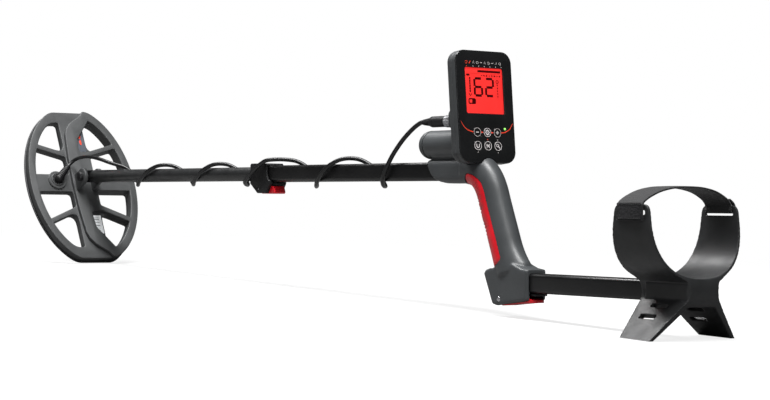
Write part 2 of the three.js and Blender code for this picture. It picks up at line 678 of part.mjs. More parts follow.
function podPieces() {
  const group = new THREE.Group();
  const slab = (width, height, corner, y, z, from, to) => (
    alongX(rounded(width, height, corner, y, z), from, to, { segments: 2 }));
  const keypad = cut(
    slab(54, 36, 4, 0, (KEY_ROWS[0] + KEY_ROWS[1]) / 2, -5.4, -4.2), box(-9, 0, 25, 30, -28, -22));
  const speaker = turned([[-16.5, 0], [-16.5, 9], [-12.5, 15], [-9.2, 15], [-9.2, 0]]);
  group.add(
    piece('pod_front_cover', podFrontCover(), 'gloss'),
    piece('display_window', slab(55.4, 53.4, 1.7, SCREEN.y, SCREEN.z, -1.7, -0.1), 'glass'),
    piece('lcd_module', slab(64, 62, 2, SCREEN.y, SCREEN.z, -6.4, -2.6), 'screen'),
    piece('keypad_membrane', keypad, 'rubber'),
    ...keyPlaces().map(([y, z], i) => (
      piece(`key_${KEY_NAMES[i]}`, alongX(disc(y, z, KEY_RADIUS), -3.2, 0.5, { segments: 6 }), 'gloss'))),
    piece('status_led', alongX(disc(27.1, -25.4, 1.3), -3.6, -0.1, { segments: 4 }), 'green'),
    piece('circuit_board', slab(72, 116, 3, 0, 0, -8.6, -7), 'board'),
    piece('speaker', speaker.translate(0, 0, -38), 'plastic'),
    piece('pod_back_shell', podBackShell(), 'plastic'),
    piece('pod_bracket', box(-19, -5, -14, 14, -70.5, -POD.height / 2 - GAP), 'plastic'),
  );
  group.position.set(POD.x, 0, POD.z);
  group.rotation.y = rad(-POD.lean);
  return group;
}

const PLUG_BOOT_TIP = new THREE.Vector3(SOCKET.boot, 0, SOCKET.z);

function socketPieces() {
  const bootStart = new THREE.Vector3(SOCKET.plug - GAP, 0, SOCKET.z);
  return [
    piece('coil_socket', coilSocket(), 'plastic'),
    piece('plug_lock_ring', lockRing(), 'steel'),
    piece('cable_plug', cablePlug(), 'plastic'),
    piece('plug_boot', cableBoot(bootStart, PLUG_BOOT_TIP, 5.5, 3.4, 5), 'rubber'),
  ];
}

// ---------- Arm cuff ----------

// Half of the cup's section: a squarish arc through which the forearm passes.
function cupCurve(radius, fromAngle, toAngle, steps) {
  const power = 2 / 2.4;
  const points = [];
  for (let i = 0; i <= steps; i += 1) {
    const angle = rad(THREE.MathUtils.lerp(fromAngle, toAngle, i / steps));
    const c = Math.cos(angle);
    const s = Math.sin(angle);
    points.push([
      Math.sign(c) * radius * Math.abs(c) ** power,
      CUFF_CENTRE_Z - radius * Math.abs(s) ** power,
    ]);
  }
  return points;
}

function cuffSection() {
  const mirror = ([y, z]) => [-y, z];
  const outer = [
    [CUFF_INNER + CUFF_WALL, CUFF_TOP], ...cupCurve(CUFF_INNER + CUFF_WALL, 0, 62, 7), [21.6, -120],
    [20, -126], [20.6, -132], [24.5, -138], [FOOT_OUT[1], FOOT_Z - 4], [FOOT_OUT[0], FOOT_Z - 4],
    [18.5, HUB_UNDER], [0, HUB_UNDER]];
  const inner = cupCurve(CUFF_INNER, 180, 0, 24);
  return polygon([
    ...outer, ...outer.slice(0, -1).reverse().map(mirror), [-CUFF_INNER, CUFF_TOP], ...inner,
    [CUFF_INNER, CUFF_TOP],
  ].reverse());
}

function cuffSideView() {
  const shape = new THREE.Shape();
  shape.moveTo(1275, CUFF_TOP);
  shape.lineTo(1311, CUFF_TOP);
  shape.quadraticCurveTo(1318, CUFF_TOP, 1319.5, CUFF_TOP - 8);
  shape.quadraticCurveTo(1324, -80, 1330, -108);
  shape.quadraticCurveTo(1337, -121, 1335, -132);
  shape.quadraticCurveTo(1334, -138, 1331, -143);
  shape.lineTo(1316.5, FOOT_Z - 5);
  shape.lineTo(1273, FOOT_Z - 5);
  shape.lineTo(1264, -138);
  shape.quadraticCurveTo(1261, -124, 1260.5, -106);
  shape.quadraticCurveTo(1262, -80, 1266.5, CUFF_TOP - 8);
  shape.quadraticCurveTo(1268, CUFF_TOP, 1275, CUFF_TOP);
  return shape;
}

// A slot through one leg, along the leg's own slope; down is the distance below the top of the leg.
function legSlot(side, x, down, width, height) {
  const slope = Math.atan2(FOOT_Z + 134, FOOT_OUT[1] - 24.5);
  const place = [25 + down * Math.cos(slope), -138 + down * Math.sin(slope)];
  return new THREE.BoxGeometry(width, 16, height).rotateX(side * (Math.PI / 2 + slope))
    .translate(x, side * place[0], place[1]);
}

function belowFloor() {
  const contact = new THREE.Vector3(1318, 0, FOOT_Z);
  const ground = box(-300, 300, -100, 100, -60, 0).rotateY(rad(FLOOR_SLOPE));
  return ground.translate(contact.x, contact.y, contact.z);
}

function armCuff() {
  const body = common(
    alongX(cuffSection(), 1255, 1340), alongY(cuffSideView(), -90, 90, { segments: 5 }));
  const slots = [-1, 1].flatMap((side) => [
    legSlot(side, 1298, 5, 24, 4.2), legSlot(side, 1291.5, 20.6, 24, 5.4),
    box(1273, 1313, Math.min(side * 70, side * 55), Math.max(side * 70, side * 55), -48.6, -43.8)]);
  const panels = alongX(rounded(45, 23.4, 3, 0, REAR_TUBE_Z - 1), 1270, 1333, { segments: 3, bevel: 1.5 });
  return cut(
    join(body, panels), squareChannel(1250, REAR_TUBE_END + 3.6, REAR_TUBE_Z), ...slots, belowFloor(),
    alongZ(disc(1297, 0, 2.5), -150, -120), alongZ(disc(1297, 0, 4.4), -150, HUB_UNDER + 2.4));
}

// The strap: from the patch outside the left wing, over the arm, and round the top bar of the right wing.
function armStrap() {
  const outside = CUFF_INNER + CUFF_WALL + GAP;
  const inside = CUFF_INNER - GAP;
  const arch = (side, drop) => [
    [side * 57, -32.6 - drop], [side * 49, -27.8 - drop], [side * 38, -23.6 - drop],
    [side * 20, -19.8 - drop]];
  const around = polygon([
    [-outside - STRAP_THICK, -56], [-outside - STRAP_THICK, CUFF_TOP + 2], ...arch(-1, 0), [0, -18.6],
    ...arch(1, 0).reverse(), [outside + STRAP_THICK, CUFF_TOP + 2], [outside + STRAP_THICK, -46.3],
    [inside - STRAP_THICK, -46.3], [inside - STRAP_THICK, CUFF_TOP - 1],
    ...arch(1, STRAP_THICK), [0, -18.6 - STRAP_THICK], ...arch(-1, STRAP_THICK).reverse(),
    [-outside, CUFF_TOP + GAP], [-outside, -56],
  ].reverse());
  const bar = polygon([
    [inside, -44.2], [outside, -44.2], [outside, CUFF_TOP + GAP], [inside, CUFF_TOP + GAP]]);
  const half = STRAP_WIDTH / 2;
  return alongX(ring(around, bar), STRAP_MIDDLE - half, STRAP_MIDDLE + half);
}

function cuffScrew() {
  const head = alongZ(disc(1297, 0, 4), HUB_UNDER + 0.2, HUB_UNDER + 2.1);
  return join(head, alongZ(disc(1297, 0, 2.1), HUB_UNDER + 1, REAR_TUBE_Z - TUBE_SIDE / 2 - GAP));
}

function cuffPieces() {
  return [
    piece('rear_tube', squareTube(REAR_TUBE_START, REAR_TUBE_END, REAR_TUBE_Z), 'tube'),
    piece('rear_tube_front_plug', tubePlug(1016, 1000), 'plastic'),
    piece('rear_tube_end_cap', tubePlug(1312, 1329), 'plastic'),
    piece('arm_cuff', armCuff(), 'plastic'),
    piece('cuff_screw', cuffScrew(), 'steel'),
    piece('arm_strap', armStrap(), 'webbing'),
  ];
}

// ---------- Coil cable ----------

// A point beside the shaft: angle 0 is under it, 90 on the user's left, 180 on top, 270 on the right.
function beside(x, angle, radius) {
  return new THREE.Vector3(x, -radius * Math.sin(rad(angle)), -radius * Math.cos(rad(angle)));
}

// One turn round the shaft from bottom to bottom, slack over the top.
function turnRound(start, end, square, from = 0, to = 360) {
  const points = [];
  for (let angle = from; angle < to; angle += 40) {
    const slack = 1.6 * Math.max(0, -Math.cos(rad(angle)));
    points.push(beside(start + (end - start) * angle / 360, angle, (square ? 17.1 : 13.6) + slack));
  }
  return points;
}

const vectors = (list) => list.map(([x, y, z]) => new THREE.Vector3(x, y, z));

// Where one length of cable passes to the next: both run straight through the seam.
const SEAMS = [
  { place: new THREE.Vector3(149, 0, -13.7), along: new THREE.Vector3(0.86, -0.51, 0) },
  { place: new THREE.Vector3(774, 0, -17.1), along: new THREE.Vector3(0.72, -0.69, 0) },
];

function seamPoints({ place, along }, side) {
  const near = place.clone().addScaledVector(along, side * GAP / 2);
  const far = place.clone().addScaledVector(along, side * 5);
  return side < 0 ? [far, near] : [near, far];
}

function coilEndRoute() {
  const tip = BOOT_TIP.clone().applyAxisAngle(new THREE.Vector3(0, 1, 0), rad(COIL_TILT));
  const start = BOOT_START.clone().applyAxisAngle(new THREE.Vector3(0, 1, 0), rad(COIL_TILT));
  const away = tip.clone().sub(start).normalize();
  return [
    tip.clone().addScaledVector(away, GAP),
    tip.clone().addScaledVector(away, 3.2),
    ...vectors([
      [-21.5, -18.3, 24], [-13, -15.8, 27.4], [1, -14.8, 29.3], [20, -13.6, 29.8],
      [38, -12.6, 27.8], [55, -10.2, 24.6], [70, -6.6, 20.6], [83, -0.5, 17], [94, 7, 13.4], [104, 12.6, 7],
      [115, 14, -1.5], [126, 11.4, -7.8], [136.5, 7.6, -11.6]]),
    ...seamPoints(SEAMS[0], -1),
  ];
}

function wrapRoute() {
  return [
    ...seamPoints(SEAMS[0], 1),
    ...turnRound(149, 310, false, 40),
    ...turnRound(310, 455, false),
    new THREE.Vector3(455, 0, -14.4),
    ...vectors([
      [464, -9, -13.6], [472, -15.6, -10.4], [483, -18.1, -4.4], [496, -18.5, 2.8], [508, -18.4, 9.6],
      [517, -17.7, 14.2], [525, -15.4, 17.6], [536, -9.4, 18.9], [549, -1, 18.8], [561, 8, 16.8],
      [572, 15, 11], [584, 17.6, 1.6], [597, 15.8, -8], [610, 9, -15]]),
    ...turnRound(622, 774, true),
    ...seamPoints(SEAMS[1], -1),
  ];
}

function handleEndRoute() {
  return [
    ...seamPoints(SEAMS[1], 1),
    ...vectors([
      [783.5, -9.8, -14.6], [790.5, -15.6, -9], [797, -17.4, -0.6], [803, -16.8, 9], [809, -14.8, 19.5],
      [815, -12, 29], [821.5, -8.6, 38.5], [829, -4.8, 47.4], [837.5, -1.6, 54.8],
      [SOCKET.boot - 6.5, 0, SOCKET.z - 0.6], [SOCKET.boot - 3, 0, SOCKET.z],
      [SOCKET.boot - GAP, 0, SOCKET.z]]),
  ];
}

function cable(name, route, steps) {
  return piece(name, swept(route, around(8, CABLE_RADIUS), steps), 'rubber');
}

function cablePieces() {
  return [
    cable('cable_coil_end', coilEndRoute(), 17),
    cable('cable_wraps', wrapRoute(), 62),
    cable('cable_pod_end', handleEndRoute(), 11),
  ];
}

// ---------- The whole object ----------

const detector = new THREE.Group();
detector.add(
  coilPieces(), ...lowerShaftPieces(), ...handlePieces(), podPieces(), ...socketPieces(),
  ...cuffPieces(), ...cablePieces());
detector.rotation.y = -rad(FLOOR_SLOPE);
detector.updateMatrixWorld(true);

const whole = new THREE.Group();
whole.add(detector);
const extent = new THREE.Box3().setFromObject(whole, true);
detector.position.set(-(extent.min.x + extent.max.x) / 2, 0, -extent.min.z);

export default whole;
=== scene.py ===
"""The looks of the metal detector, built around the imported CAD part."""
import json
import math

import bmesh
import bpy
from mathutils import Matrix, Vector

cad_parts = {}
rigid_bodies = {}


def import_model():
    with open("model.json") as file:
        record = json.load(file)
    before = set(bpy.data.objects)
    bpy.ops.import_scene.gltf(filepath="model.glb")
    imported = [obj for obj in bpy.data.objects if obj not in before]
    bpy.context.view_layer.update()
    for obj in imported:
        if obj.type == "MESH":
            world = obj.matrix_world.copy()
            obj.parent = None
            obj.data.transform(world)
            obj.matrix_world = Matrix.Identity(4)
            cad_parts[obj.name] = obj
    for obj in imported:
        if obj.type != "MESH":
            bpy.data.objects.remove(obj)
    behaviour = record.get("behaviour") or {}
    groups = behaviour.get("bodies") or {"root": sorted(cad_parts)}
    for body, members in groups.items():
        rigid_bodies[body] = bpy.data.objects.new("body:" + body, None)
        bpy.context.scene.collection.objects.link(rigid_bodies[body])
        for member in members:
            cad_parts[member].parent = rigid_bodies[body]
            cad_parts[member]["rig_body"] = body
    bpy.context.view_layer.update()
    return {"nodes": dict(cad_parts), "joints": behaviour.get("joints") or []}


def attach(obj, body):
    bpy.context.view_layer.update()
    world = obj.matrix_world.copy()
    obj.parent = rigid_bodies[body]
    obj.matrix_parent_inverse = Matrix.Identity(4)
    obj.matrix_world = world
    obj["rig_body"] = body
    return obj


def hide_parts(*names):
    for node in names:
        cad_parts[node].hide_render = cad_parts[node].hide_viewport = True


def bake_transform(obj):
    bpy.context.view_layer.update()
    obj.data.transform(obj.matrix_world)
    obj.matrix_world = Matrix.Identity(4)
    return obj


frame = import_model()

# ---------- Frames: the shaft, the coil and the pod each have their own, in millimetres ----------

JOINTS = {joint["name"]: joint for joint in frame["joints"]}
HINGE = Vector(JOINTS["coil_tilt"]["pos_m"])
ALONG = Vector(JOINTS["lower_shaft_slide"]["axis"]).normalized()
SIDE = Vector((0, 1, 0))
UP = ALONG.cross(SIDE)
SHAFT = (Matrix.Translation(HINGE) @ Matrix((ALONG, SIDE, UP)).transposed().to_4x4()
         @ Matrix.Scale(0.001, 4))
COIL_TILT = math.radians(63.55)
COIL = SHAFT @ Matrix.Rotation(COIL_TILT, 4, "Y")
POD = SHAFT @ Matrix.Translation((973, 0, 75)) @ Matrix.Rotation(math.radians(-5.79), 4, "Y")
COLLECTION = bpy.context.scene.collection
ROOT = "handle_and_pod"


def at(x, y, z):
    return SHAFT @ Vector((x, y, z))


# ---------- Camera ----------

def make_camera():
    yaw, pitch, roll = (math.radians(a) for a in (35.884, -0.246, 0.613))
    forward = Vector((-math.cos(yaw) * math.cos(pitch), math.sin(yaw) * math.cos(pitch), -math.sin(pitch)))
    right = Vector((math.sin(yaw), math.cos(yaw), 0))
    up = right.cross(forward)
    right, up = (math.cos(roll) * right + math.sin(roll) * up, math.cos(roll) * up - math.sin(roll) * right)
    axes = Matrix((right, up, -forward)).transposed()
    turn = SHAFT.to_3x3().normalized()
    camera = bpy.data.objects.new("camera", bpy.data.cameras.new("camera"))
    COLLECTION.objects.link(camera)
    camera.matrix_world = Matrix.Translation(at(2881.65, -1524.39, -45.42)) @ (turn @ axes).to_4x4()
    camera.data.sensor_width = 36
    camera.data.lens = 97.95
    camera.data.clip_end = 100
    bpy.context.scene.camera = camera


make_camera()

# ---------- Curves ----------


def smooth_route(points, per_span=8):
    """A centripetal Catmull-Rom curve through points, the same curve as the CAD cable follows."""
    pts = [Vector(p) for p in points]
    pts = [2 * pts[0] - pts[1], *pts, 2 * pts[-1] - pts[-2]]
    out = []
    for a, b, c, d in zip(pts, pts[1:], pts[2:], pts[3:]):
        t0, t1, t2 = ((q - p).length ** 0.5 for p, q in ((a, b), (b, c), (c, d)))
        m1 = ((b - a) / t0 - (c - a) / (t0 + t1) + (c - b) / t1) * t1
        m2 = ((c - b) / t1 - (d - b) / (t1 + t2) + (d - c) / t2) * t1
        square = -3 * b + 3 * c - 2 * m1 - m2
        cube = 2 * b - 2 * c + m1 + m2
        for i in range(per_span):
            u = i / per_span
            out.append(b + m1 * u + square * u ** 2 + cube * u ** 3)
    return out + [pts[-2]]


def frames_along(points):
    """A tangent and two cross axes at each point, turning as little as they can."""
    tangents = []
    for i in range(len(points)):
        tangents.append((points[min(i + 1, len(points) - 1)] - points[max(i - 1, 0)]).normalized())
    side = tangents[0].orthogonal().normalized()
    out = []
    for tangent in tangents:
        side = (side - tangent * side.dot(tangent)).normalized()
        out.append((tangent, side, tangent.cross(side)))
    return out


def ring_faces(rings, sides, cap_first=True, cap_last=True):
    """The quads between neighbouring rings of a tube, and a face over each end that is capped."""
    faces = []
    for i in range(rings - 1):
        here, there = i * sides, (i + 1) * sides
        for k in range(sides):
            after = (k + 1) % sides
            faces.append((here + k, here + after, there + after, there + k))
    if cap_first:
        faces.append(tuple(reversed(range(sides))))
    if cap_last:
        faces.append(tuple(range((rings - 1) * sides, rings * sides)))
    return faces


def tube_mesh(points, radius, sides=16):
    """A closed round tube along points, whose radius may be a function of the share of its length."""
    reach = radius if callable(radius) else lambda share: radius
    verts = []
    for i, (p, (_, a, b)) in enumerate(zip(points, frames_along(points))):
        r = reach(i / (len(points) - 1))
        verts += [p + (a * math.cos(t) + b * math.sin(t)) * r
                  for t in (2 * math.pi * k / sides for k in range(sides))]
    return verts, ring_faces(len(points), sides)


def quadratic(a, b, c, shares):
    """Points of the curve that leaves a towards b and comes to c, at the given shares of the way."""
    return [((1 - t) ** 2 * a[0] + 2 * t * (1 - t) * b[0] + t * t * c[0],
             (1 - t) ** 2 * a[1] + 2 * t * (1 - t) * b[1] + t * t * c[1]) for t in shares]


# ---------- Materials ----------

class Nodes:
    """Short ways to add nodes to one material."""

    def __init__(self, name):
        self.material = bpy.data.materials.new(name)
        self.material.use_nodes = True
        self.tree = self.material.node_tree
        self.shader = self.tree.nodes["Principled BSDF"]
        self.place = self.tree.nodes.new("ShaderNodeTexCoord").outputs["Object"]

    def add(self, kind, **inputs):
        node = self.tree.nodes.new("ShaderNode" + kind)
        for key, value in inputs.items():
            socket = node.inputs[int(key[1:])] if key[1:].isdigit() and key[0] == "i" else node.inputs[key]
            if isinstance(value, bpy.types.NodeSocket):
                self.tree.links.new(value, socket)
            else:
                socket.default_value = value
        return node

    def noise(self, size, detail=3.0, rough=0.5, stretch=None):
        place = self.place
        if stretch:
            place = self.add("Mapping", Vector=self.place, Scale=stretch).outputs[0]
        return self.add("TexNoise", Vector=place, Scale=1.0 / size, Detail=detail, Roughness=rough).outputs[0]

    def ramp(self, value, low, high, start=0.3, end=0.7):
        node = self.tree.nodes.new("ShaderNodeMapRange")
        self.tree.links.new(value, node.inputs[0])
        for i, number in enumerate((start, end, low, high), 1):
            node.inputs[i].default_value = number
        return node.outputs[0]

    def blend(self, factor, a, b):
        node = self.tree.nodes.new("ShaderNodeMix")
        node.data_type = "RGBA"
        for socket, value in ((node.inputs[0], factor), (node.inputs[6], a), (node.inputs[7], b)):
            if isinstance(value, bpy.types.NodeSocket):
                self.tree.links.new(value, socket)
            else:
                socket.default_value = value if isinstance(value, float) else (*value, 1)
        return node.outputs[2]

    def maths(self, kind, a, b):
        node = self.tree.nodes.new("ShaderNodeMath")
        node.operation = kind
        for socket, value in zip(node.inputs, (a, b)):
            if isinstance(value, bpy.types.NodeSocket):
                self.tree.links.new(value, socket)
            else:
                socket.default_value = value
        return node.outputs[0]

    def bump(self, height, distance, strength=1.0, under=None):
        node = self.tree.nodes.new("ShaderNodeBump")
        node.inputs["Strength"].default_value = strength
        node.inputs["Distance"].default_value = distance
        self.tree.links.new(height, node.inputs["Height"])
        if under is not None:
            self.tree.links.new(under, node.inputs["Normal"])
        return node.outputs[0]

    def connect(self, **sockets):
        for key, value in sockets.items():
            socket = self.shader.inputs[key.replace("_", " ")]
            if isinstance(value, bpy.types.NodeSocket):
                self.tree.links.new(value, socket)
            else:
                socket.default_value = value
        return self.material


def moulded(name, colour, rough, grain=0.0006, depth=0.00004, mottle=0.16, specular=0.5, metal=0.0, coat=0.0,
            wear=0.25, stretch=None):
    """Moulded plastic or rubber: spark-eroded grain, faint mottling, and edges rubbed a little paler."""
    n = Nodes(name)
    pale = tuple(min(1.0, c * (1 + mottle) + 0.002) for c in colour)
    dark = tuple(c * (1 - mottle) for c in colour)
    tone = n.blend(n.ramp(n.noise(0.035, 4), 0.0, 1.0), dark, pale)
    if wear:
        rounded = n.add("Bevel", Radius=0.0011)
        rounded.samples = 4
        sharp = n.tree.nodes.new("ShaderNodeVectorMath")
        sharp.operation = "DOT_PRODUCT"
        n.tree.links.new(rounded.outputs[0], sharp.inputs[0])
        n.tree.links.new(n.tree.nodes.new("ShaderNodeNewGeometry").outputs["Normal"], sharp.inputs[1])
        edge = n.maths("MULTIPLY", n.ramp(sharp.outputs["Value"], 1.0, 0.0, 0.8, 0.985),
                       n.ramp(n.noise(0.004, 5), 0.1, 1.0, 0.35, 0.65))
        rubbed = tuple(min(1.0, c * 2.2 + 0.03) for c in colour)
        tone = n.blend(n.maths("MULTIPLY", edge, wear), tone, rubbed)
    fine = n.noise(grain, 2, 0.6, stretch)
    gloss = n.ramp(n.noise(0.012, 5), rough - 0.06, rough + 0.06)
    return n.connect(Base_Color=tone, Roughness=gloss, Metallic=metal, Specular_IOR_Level=specular,
                     Coat_Weight=coat, Normal=n.bump(fine, depth))


def anodised(name, colour, rough):
    """Black anodised tube: drawn lines along its length under a satin film."""
    n = Nodes(name)
    lines = n.noise(0.0007, 3, 0.6, (0.02, 1, 1))
    tone = n.blend(n.ramp(lines, 0.0, 1.0), tuple(c * 0.8 for c in colour), tuple(c * 1.3 for c in colour))
    gloss = n.ramp(n.noise(0.02, 4), rough - 0.05, rough + 0.05)
    return n.connect(Base_Color=tone, Roughness=gloss, Metallic=0.0, Specular_IOR_Level=0.42,
                     Normal=n.bump(lines, 0.000006, 0.4))


def webbing(name, colour):
    """Woven strap: a tight basket weave with a fuzz of loose fibre."""
    n = Nodes(name)
    warp = n.add("TexWave", Vector=n.place, Scale=330.0, Distortion=0.4, Detail=1.0)
    warp.bands_direction = "X"
    weft = n.add("TexWave", Vector=n.place, Scale=260.0, Distortion=0.4, Detail=1.0)
    weft.bands_direction = "Y"
    rows = n.add("TexWave", Vector=n.place, Scale=260.0, Distortion=0.4, Detail=1.0)
    rows.bands_direction = "Z"
    weave = n.maths("MULTIPLY", warp.outputs[1], n.maths("MAXIMUM", weft.outputs[1], rows.outputs[1]))
    tone = n.blend(weave, tuple(c * 0.5 for c in colour), tuple(c * 1.7 for c in colour))
    under = n.bump(n.noise(0.0004, 4, 0.7), 0.00006)
    return n.connect(Base_Color=tone, Roughness=0.85, Specular_IOR_Level=0.25, Sheen_Weight=0.25,
                     Sheen_Roughness=0.5, Normal=n.bump(weave, 0.00025, 0.8, under))


def hook_patch(name, colour):
    """The rough face of a hook and loop fastener."""
    n = Nodes(name)
    dots = n.add("TexVoronoi", Vector=n.place, Scale=900.0)
    height = n.ramp(dots.outputs["Distance"], 1.0, 0.0, 0.0, 0.6)
    tone = n.blend(height, tuple(c * 0.4 for c in colour), tuple(c * 2.2 for c in colour))
    return n.connect(Base_Color=tone, Roughness=0.9, Specular_IOR_Level=0.3,
                     Normal=n.bump(height, 0.0004, 0.9))


def turned_steel(name):
    n = Nodes(name)
    lines = n.noise(0.0006, 2, 0.5, (1, 0.08, 0.08))
    tone = n.blend(n.ramp(lines, 0, 1), (0.42, 0.42, 0.44), (0.66, 0.66, 0.68))
    return n.connect(Base_Color=tone, Metallic=1.0, Roughness=n.ramp(n.noise(0.003), 0.22, 0.38),
                     Normal=n.bump(lines, 0.00002))


def copper_winding(name):
    n = Nodes(name)
    strands = n.noise(0.0009, 2, 0.4, (0.15, 0.15, 1))
    tone = n.blend(n.ramp(strands, 0, 1), (0.3, 0.1, 0.03), (0.62, 0.27, 0.1))
    return n.connect(Base_Color=tone, Metallic=0.85, Roughness=n.ramp(n.noise(0.01), 0.3, 0.45),
                     Normal=n.bump(strands, 0.0002))


def printed(name, colour, glow=0.0):
    """Screen-printed ink: a thin, slightly uneven coat. A glow makes it shine by itself: on ink and paper
    that is painted light.
    """
    n = Nodes(name)
    tone = n.blend(n.ramp(n.noise(0.0012, 3), 0, 1), tuple(c * 0.88 for c in colour), colour)
    material = n.connect(Base_Color=tone, Roughness=n.ramp(n.noise(0.004), 0.3, 0.42))
    # glow is emission: on the inks and the paper label it is painted light, on the status light it is a real
    # lamp
    if glow:
        n.tree.links.new(tone, n.shader.inputs["Emission Color"])
        n.shader.inputs["Emission Strength"].default_value = glow
    return material


def lit_panel(name, colour, glow):
    """Backlit screen: its glow varies a little from place to place, with a fine cell grid."""
    n = Nodes(name)
    cells = n.add("TexVoronoi", Vector=n.place, Scale=1400.0)
    cells.distance = "CHEBYCHEV"
    tone = n.blend(n.ramp(n.noise(0.05, 2), 0, 1), tuple(c * 0.93 for c in colour), colour)
    specks = n.ramp(cells.outputs["Distance"], 0.0, 0.12, 0.3, 0.6)
    tone = n.blend(specks, tone, tuple(c * 0.8 for c in colour))
    n.tree.links.new(tone, n.shader.inputs["Emission Color"])
    n.shader.inputs["Emission Strength"].default_value = glow
    return n.connect(Base_Color=tone, Roughness=0.4)


def clear_window(name):
    """Thin clear window: mostly lets the panel through, with the gloss of acrylic."""
    n = Nodes(name)
    clear = n.tree.nodes.new("ShaderNodeBsdfTransparent")
    clear.inputs[0].default_value = (1, 0.93, 0.93, 1)
    mix = n.tree.nodes.new("ShaderNodeMixShader")
    fresnel = n.add("Fresnel", IOR=1.3)
    n.tree.links.new(n.maths("MULTIPLY", fresnel.outputs[0], n.ramp(n.noise(0.02), 0.7, 1.0)), mix.inputs[0])
    n.tree.links.new(clear.outputs[0], mix.inputs[1])
    n.tree.links.new(n.shader.outputs[0], mix.inputs[2])
    n.tree.links.new(mix.outputs[0], n.tree.nodes["Material Output"].inputs[0])
    return n.connect(Base_Color=(0.02, 0.005, 0.005, 1), Roughness=0.12)


M = {
    "coil": moulded("coil_plastic", (0.050, 0.052, 0.053), 0.52, depth=0.00005, specular=0.45, wear=0.35),
    "cover": moulded("coil_cover_plastic", (0.030, 0.031, 0.033), 0.55, specular=0.4, wear=0.35),
    "sleeve": moulded("composite_tube", (0.015, 0.0155, 0.016), 0.34, grain=0.0009, depth=0.00002, wear=0,
                      stretch=(0.05, 1, 1)),
    "tube": anodised("anodised_tube", (0.0026, 0.0026, 0.0029), 0.36),
    "black": moulded("black_plastic", (0.007, 0.007, 0.0077), 0.46, specular=0.35, wear=0.15),
    "cuff": moulded("cuff_plastic", (0.019, 0.0197, 0.0206), 0.44, depth=0.00003, specular=0.35, wear=0.12),
    "handle": moulded("handle_plastic", (0.052, 0.056, 0.059), 0.42, depth=0.00003, mottle=0.08, wear=0.12),
    "face": moulded("gloss_face", (0.0085, 0.009, 0.0095), 0.16, grain=0.004, depth=0.00001, mottle=0.1,
                    specular=0.45, wear=0.1),
    "rim": moulded("pod_plastic", (0.045, 0.048, 0.050), 0.45, specular=0.4, wear=0.12),
    "red": moulded("red_plastic", (0.72, 0.008, 0.018), 0.36, depth=0.00002, mottle=0.08, wear=0.05),
    "rubber": moulded("black_rubber", (0.008, 0.008, 0.0088), 0.55, grain=0.0008, depth=0.00006,
                      specular=0.4, wear=0),
    "jacket": moulded("cable_jacket", (0.0045, 0.0045, 0.005), 0.36, grain=0.0007, depth=0.00003,
                      specular=0.5, wear=0),
    "steel": turned_steel("turned_steel"),
    "copper": copper_winding("enamelled_copper"),
    "board": moulded("solder_resist", (0.015, 0.10, 0.04), 0.35, wear=0),
    "cell": moulded("cell_wrapper", (0.24, 0.25, 0.27), 0.34, metal=0.4, wear=0),
    "webbing": webbing("strap_webbing", (0.0085, 0.0085, 0.0095)),
    "patch": hook_patch("hook_patch", (0.020, 0.020, 0.022)),
    "screen": lit_panel("lit_screen", (1.0, 0.045, 0.040), 0.85),
    "segment": printed("screen_segments", (0.10, 0.002, 0.004), 0.15),
    "window": clear_window("clear_window"),
    # the glow numbers of these inks are painted light: ink gives no light of its own
    "ink_white": printed("ink_white", (0.70, 0.66, 0.66), 0.25),
    "ink_grey": printed("ink_grey", (0.45, 0.42, 0.41), 0.2),
    "ink_red": printed("ink_red", (0.86, 0.06, 0.025), 0.12),
    "green": printed("green_light", (0.32, 0.85, 0.16), 0.9),
    # the paper label's glow is painted light: paper gives no light of its own
    "label": printed("paper_label", (0.78, 0.80, 0.81), 0.35),
    "label_grey": printed("badge_grey", (0.10, 0.11, 0.13)),
}

# ---------- Making pieces ----------


def new_object(name, mesh):
    obj = bpy.data.objects.new(name, mesh)
    COLLECTION.objects.link(obj)
    return obj


def applied(obj):
    """The object's mesh with its modifiers applied."""
    graph = bpy.context.evaluated_depsgraph_get()
    mesh = bpy.data.meshes.new_from_object(obj.evaluated_get(graph))
    obj.modifiers.clear()
    obj.data = mesh
    return mesh


def tidy(mesh, angle):
    work = bmesh.new()
    work.from_mesh(mesh)
    bmesh.ops.remove_doubles(work, verts=work.verts, dist=1e-7)
    bmesh.ops.recalc_face_normals(work, faces=work.faces)
    work.to_mesh(mesh)
    work.free()
    mesh.shade_smooth()
    mesh.set_sharp_from_angle(angle=math.radians(angle))


def piece(name, obj_or_mesh, material, body, replaces=(), angle=38):
    """Finishes a mesh as a named piece: material, shading, the body it rides on, what it stands for."""
    obj = obj_or_mesh if isinstance(obj_or_mesh, bpy.types.Object) else new_object(name, obj_or_mesh)
    obj.name = name
    obj.data.name = name
    if material:
        obj.data.materials.clear()
        obj.data.materials.append(M[material])
    tidy(obj.data, angle)
    if body:
        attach(obj, body)
    if replaces:
        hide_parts(*replaces)
    return obj


def mesh_of(name, verts, faces, matrix=SHAFT):
    mesh = bpy.data.meshes.new(name)
    mesh.from_pydata([tuple(v) for v in verts], [], faces)
    mesh.transform(matrix)
    mesh.validate()
    return mesh


def joined(name, *meshes):
    work = bmesh.new()
    for mesh in meshes:
        work.from_mesh(mesh)
    out = bpy.data.meshes.new(name)
    work.to_mesh(out)
    work.free()
    return out


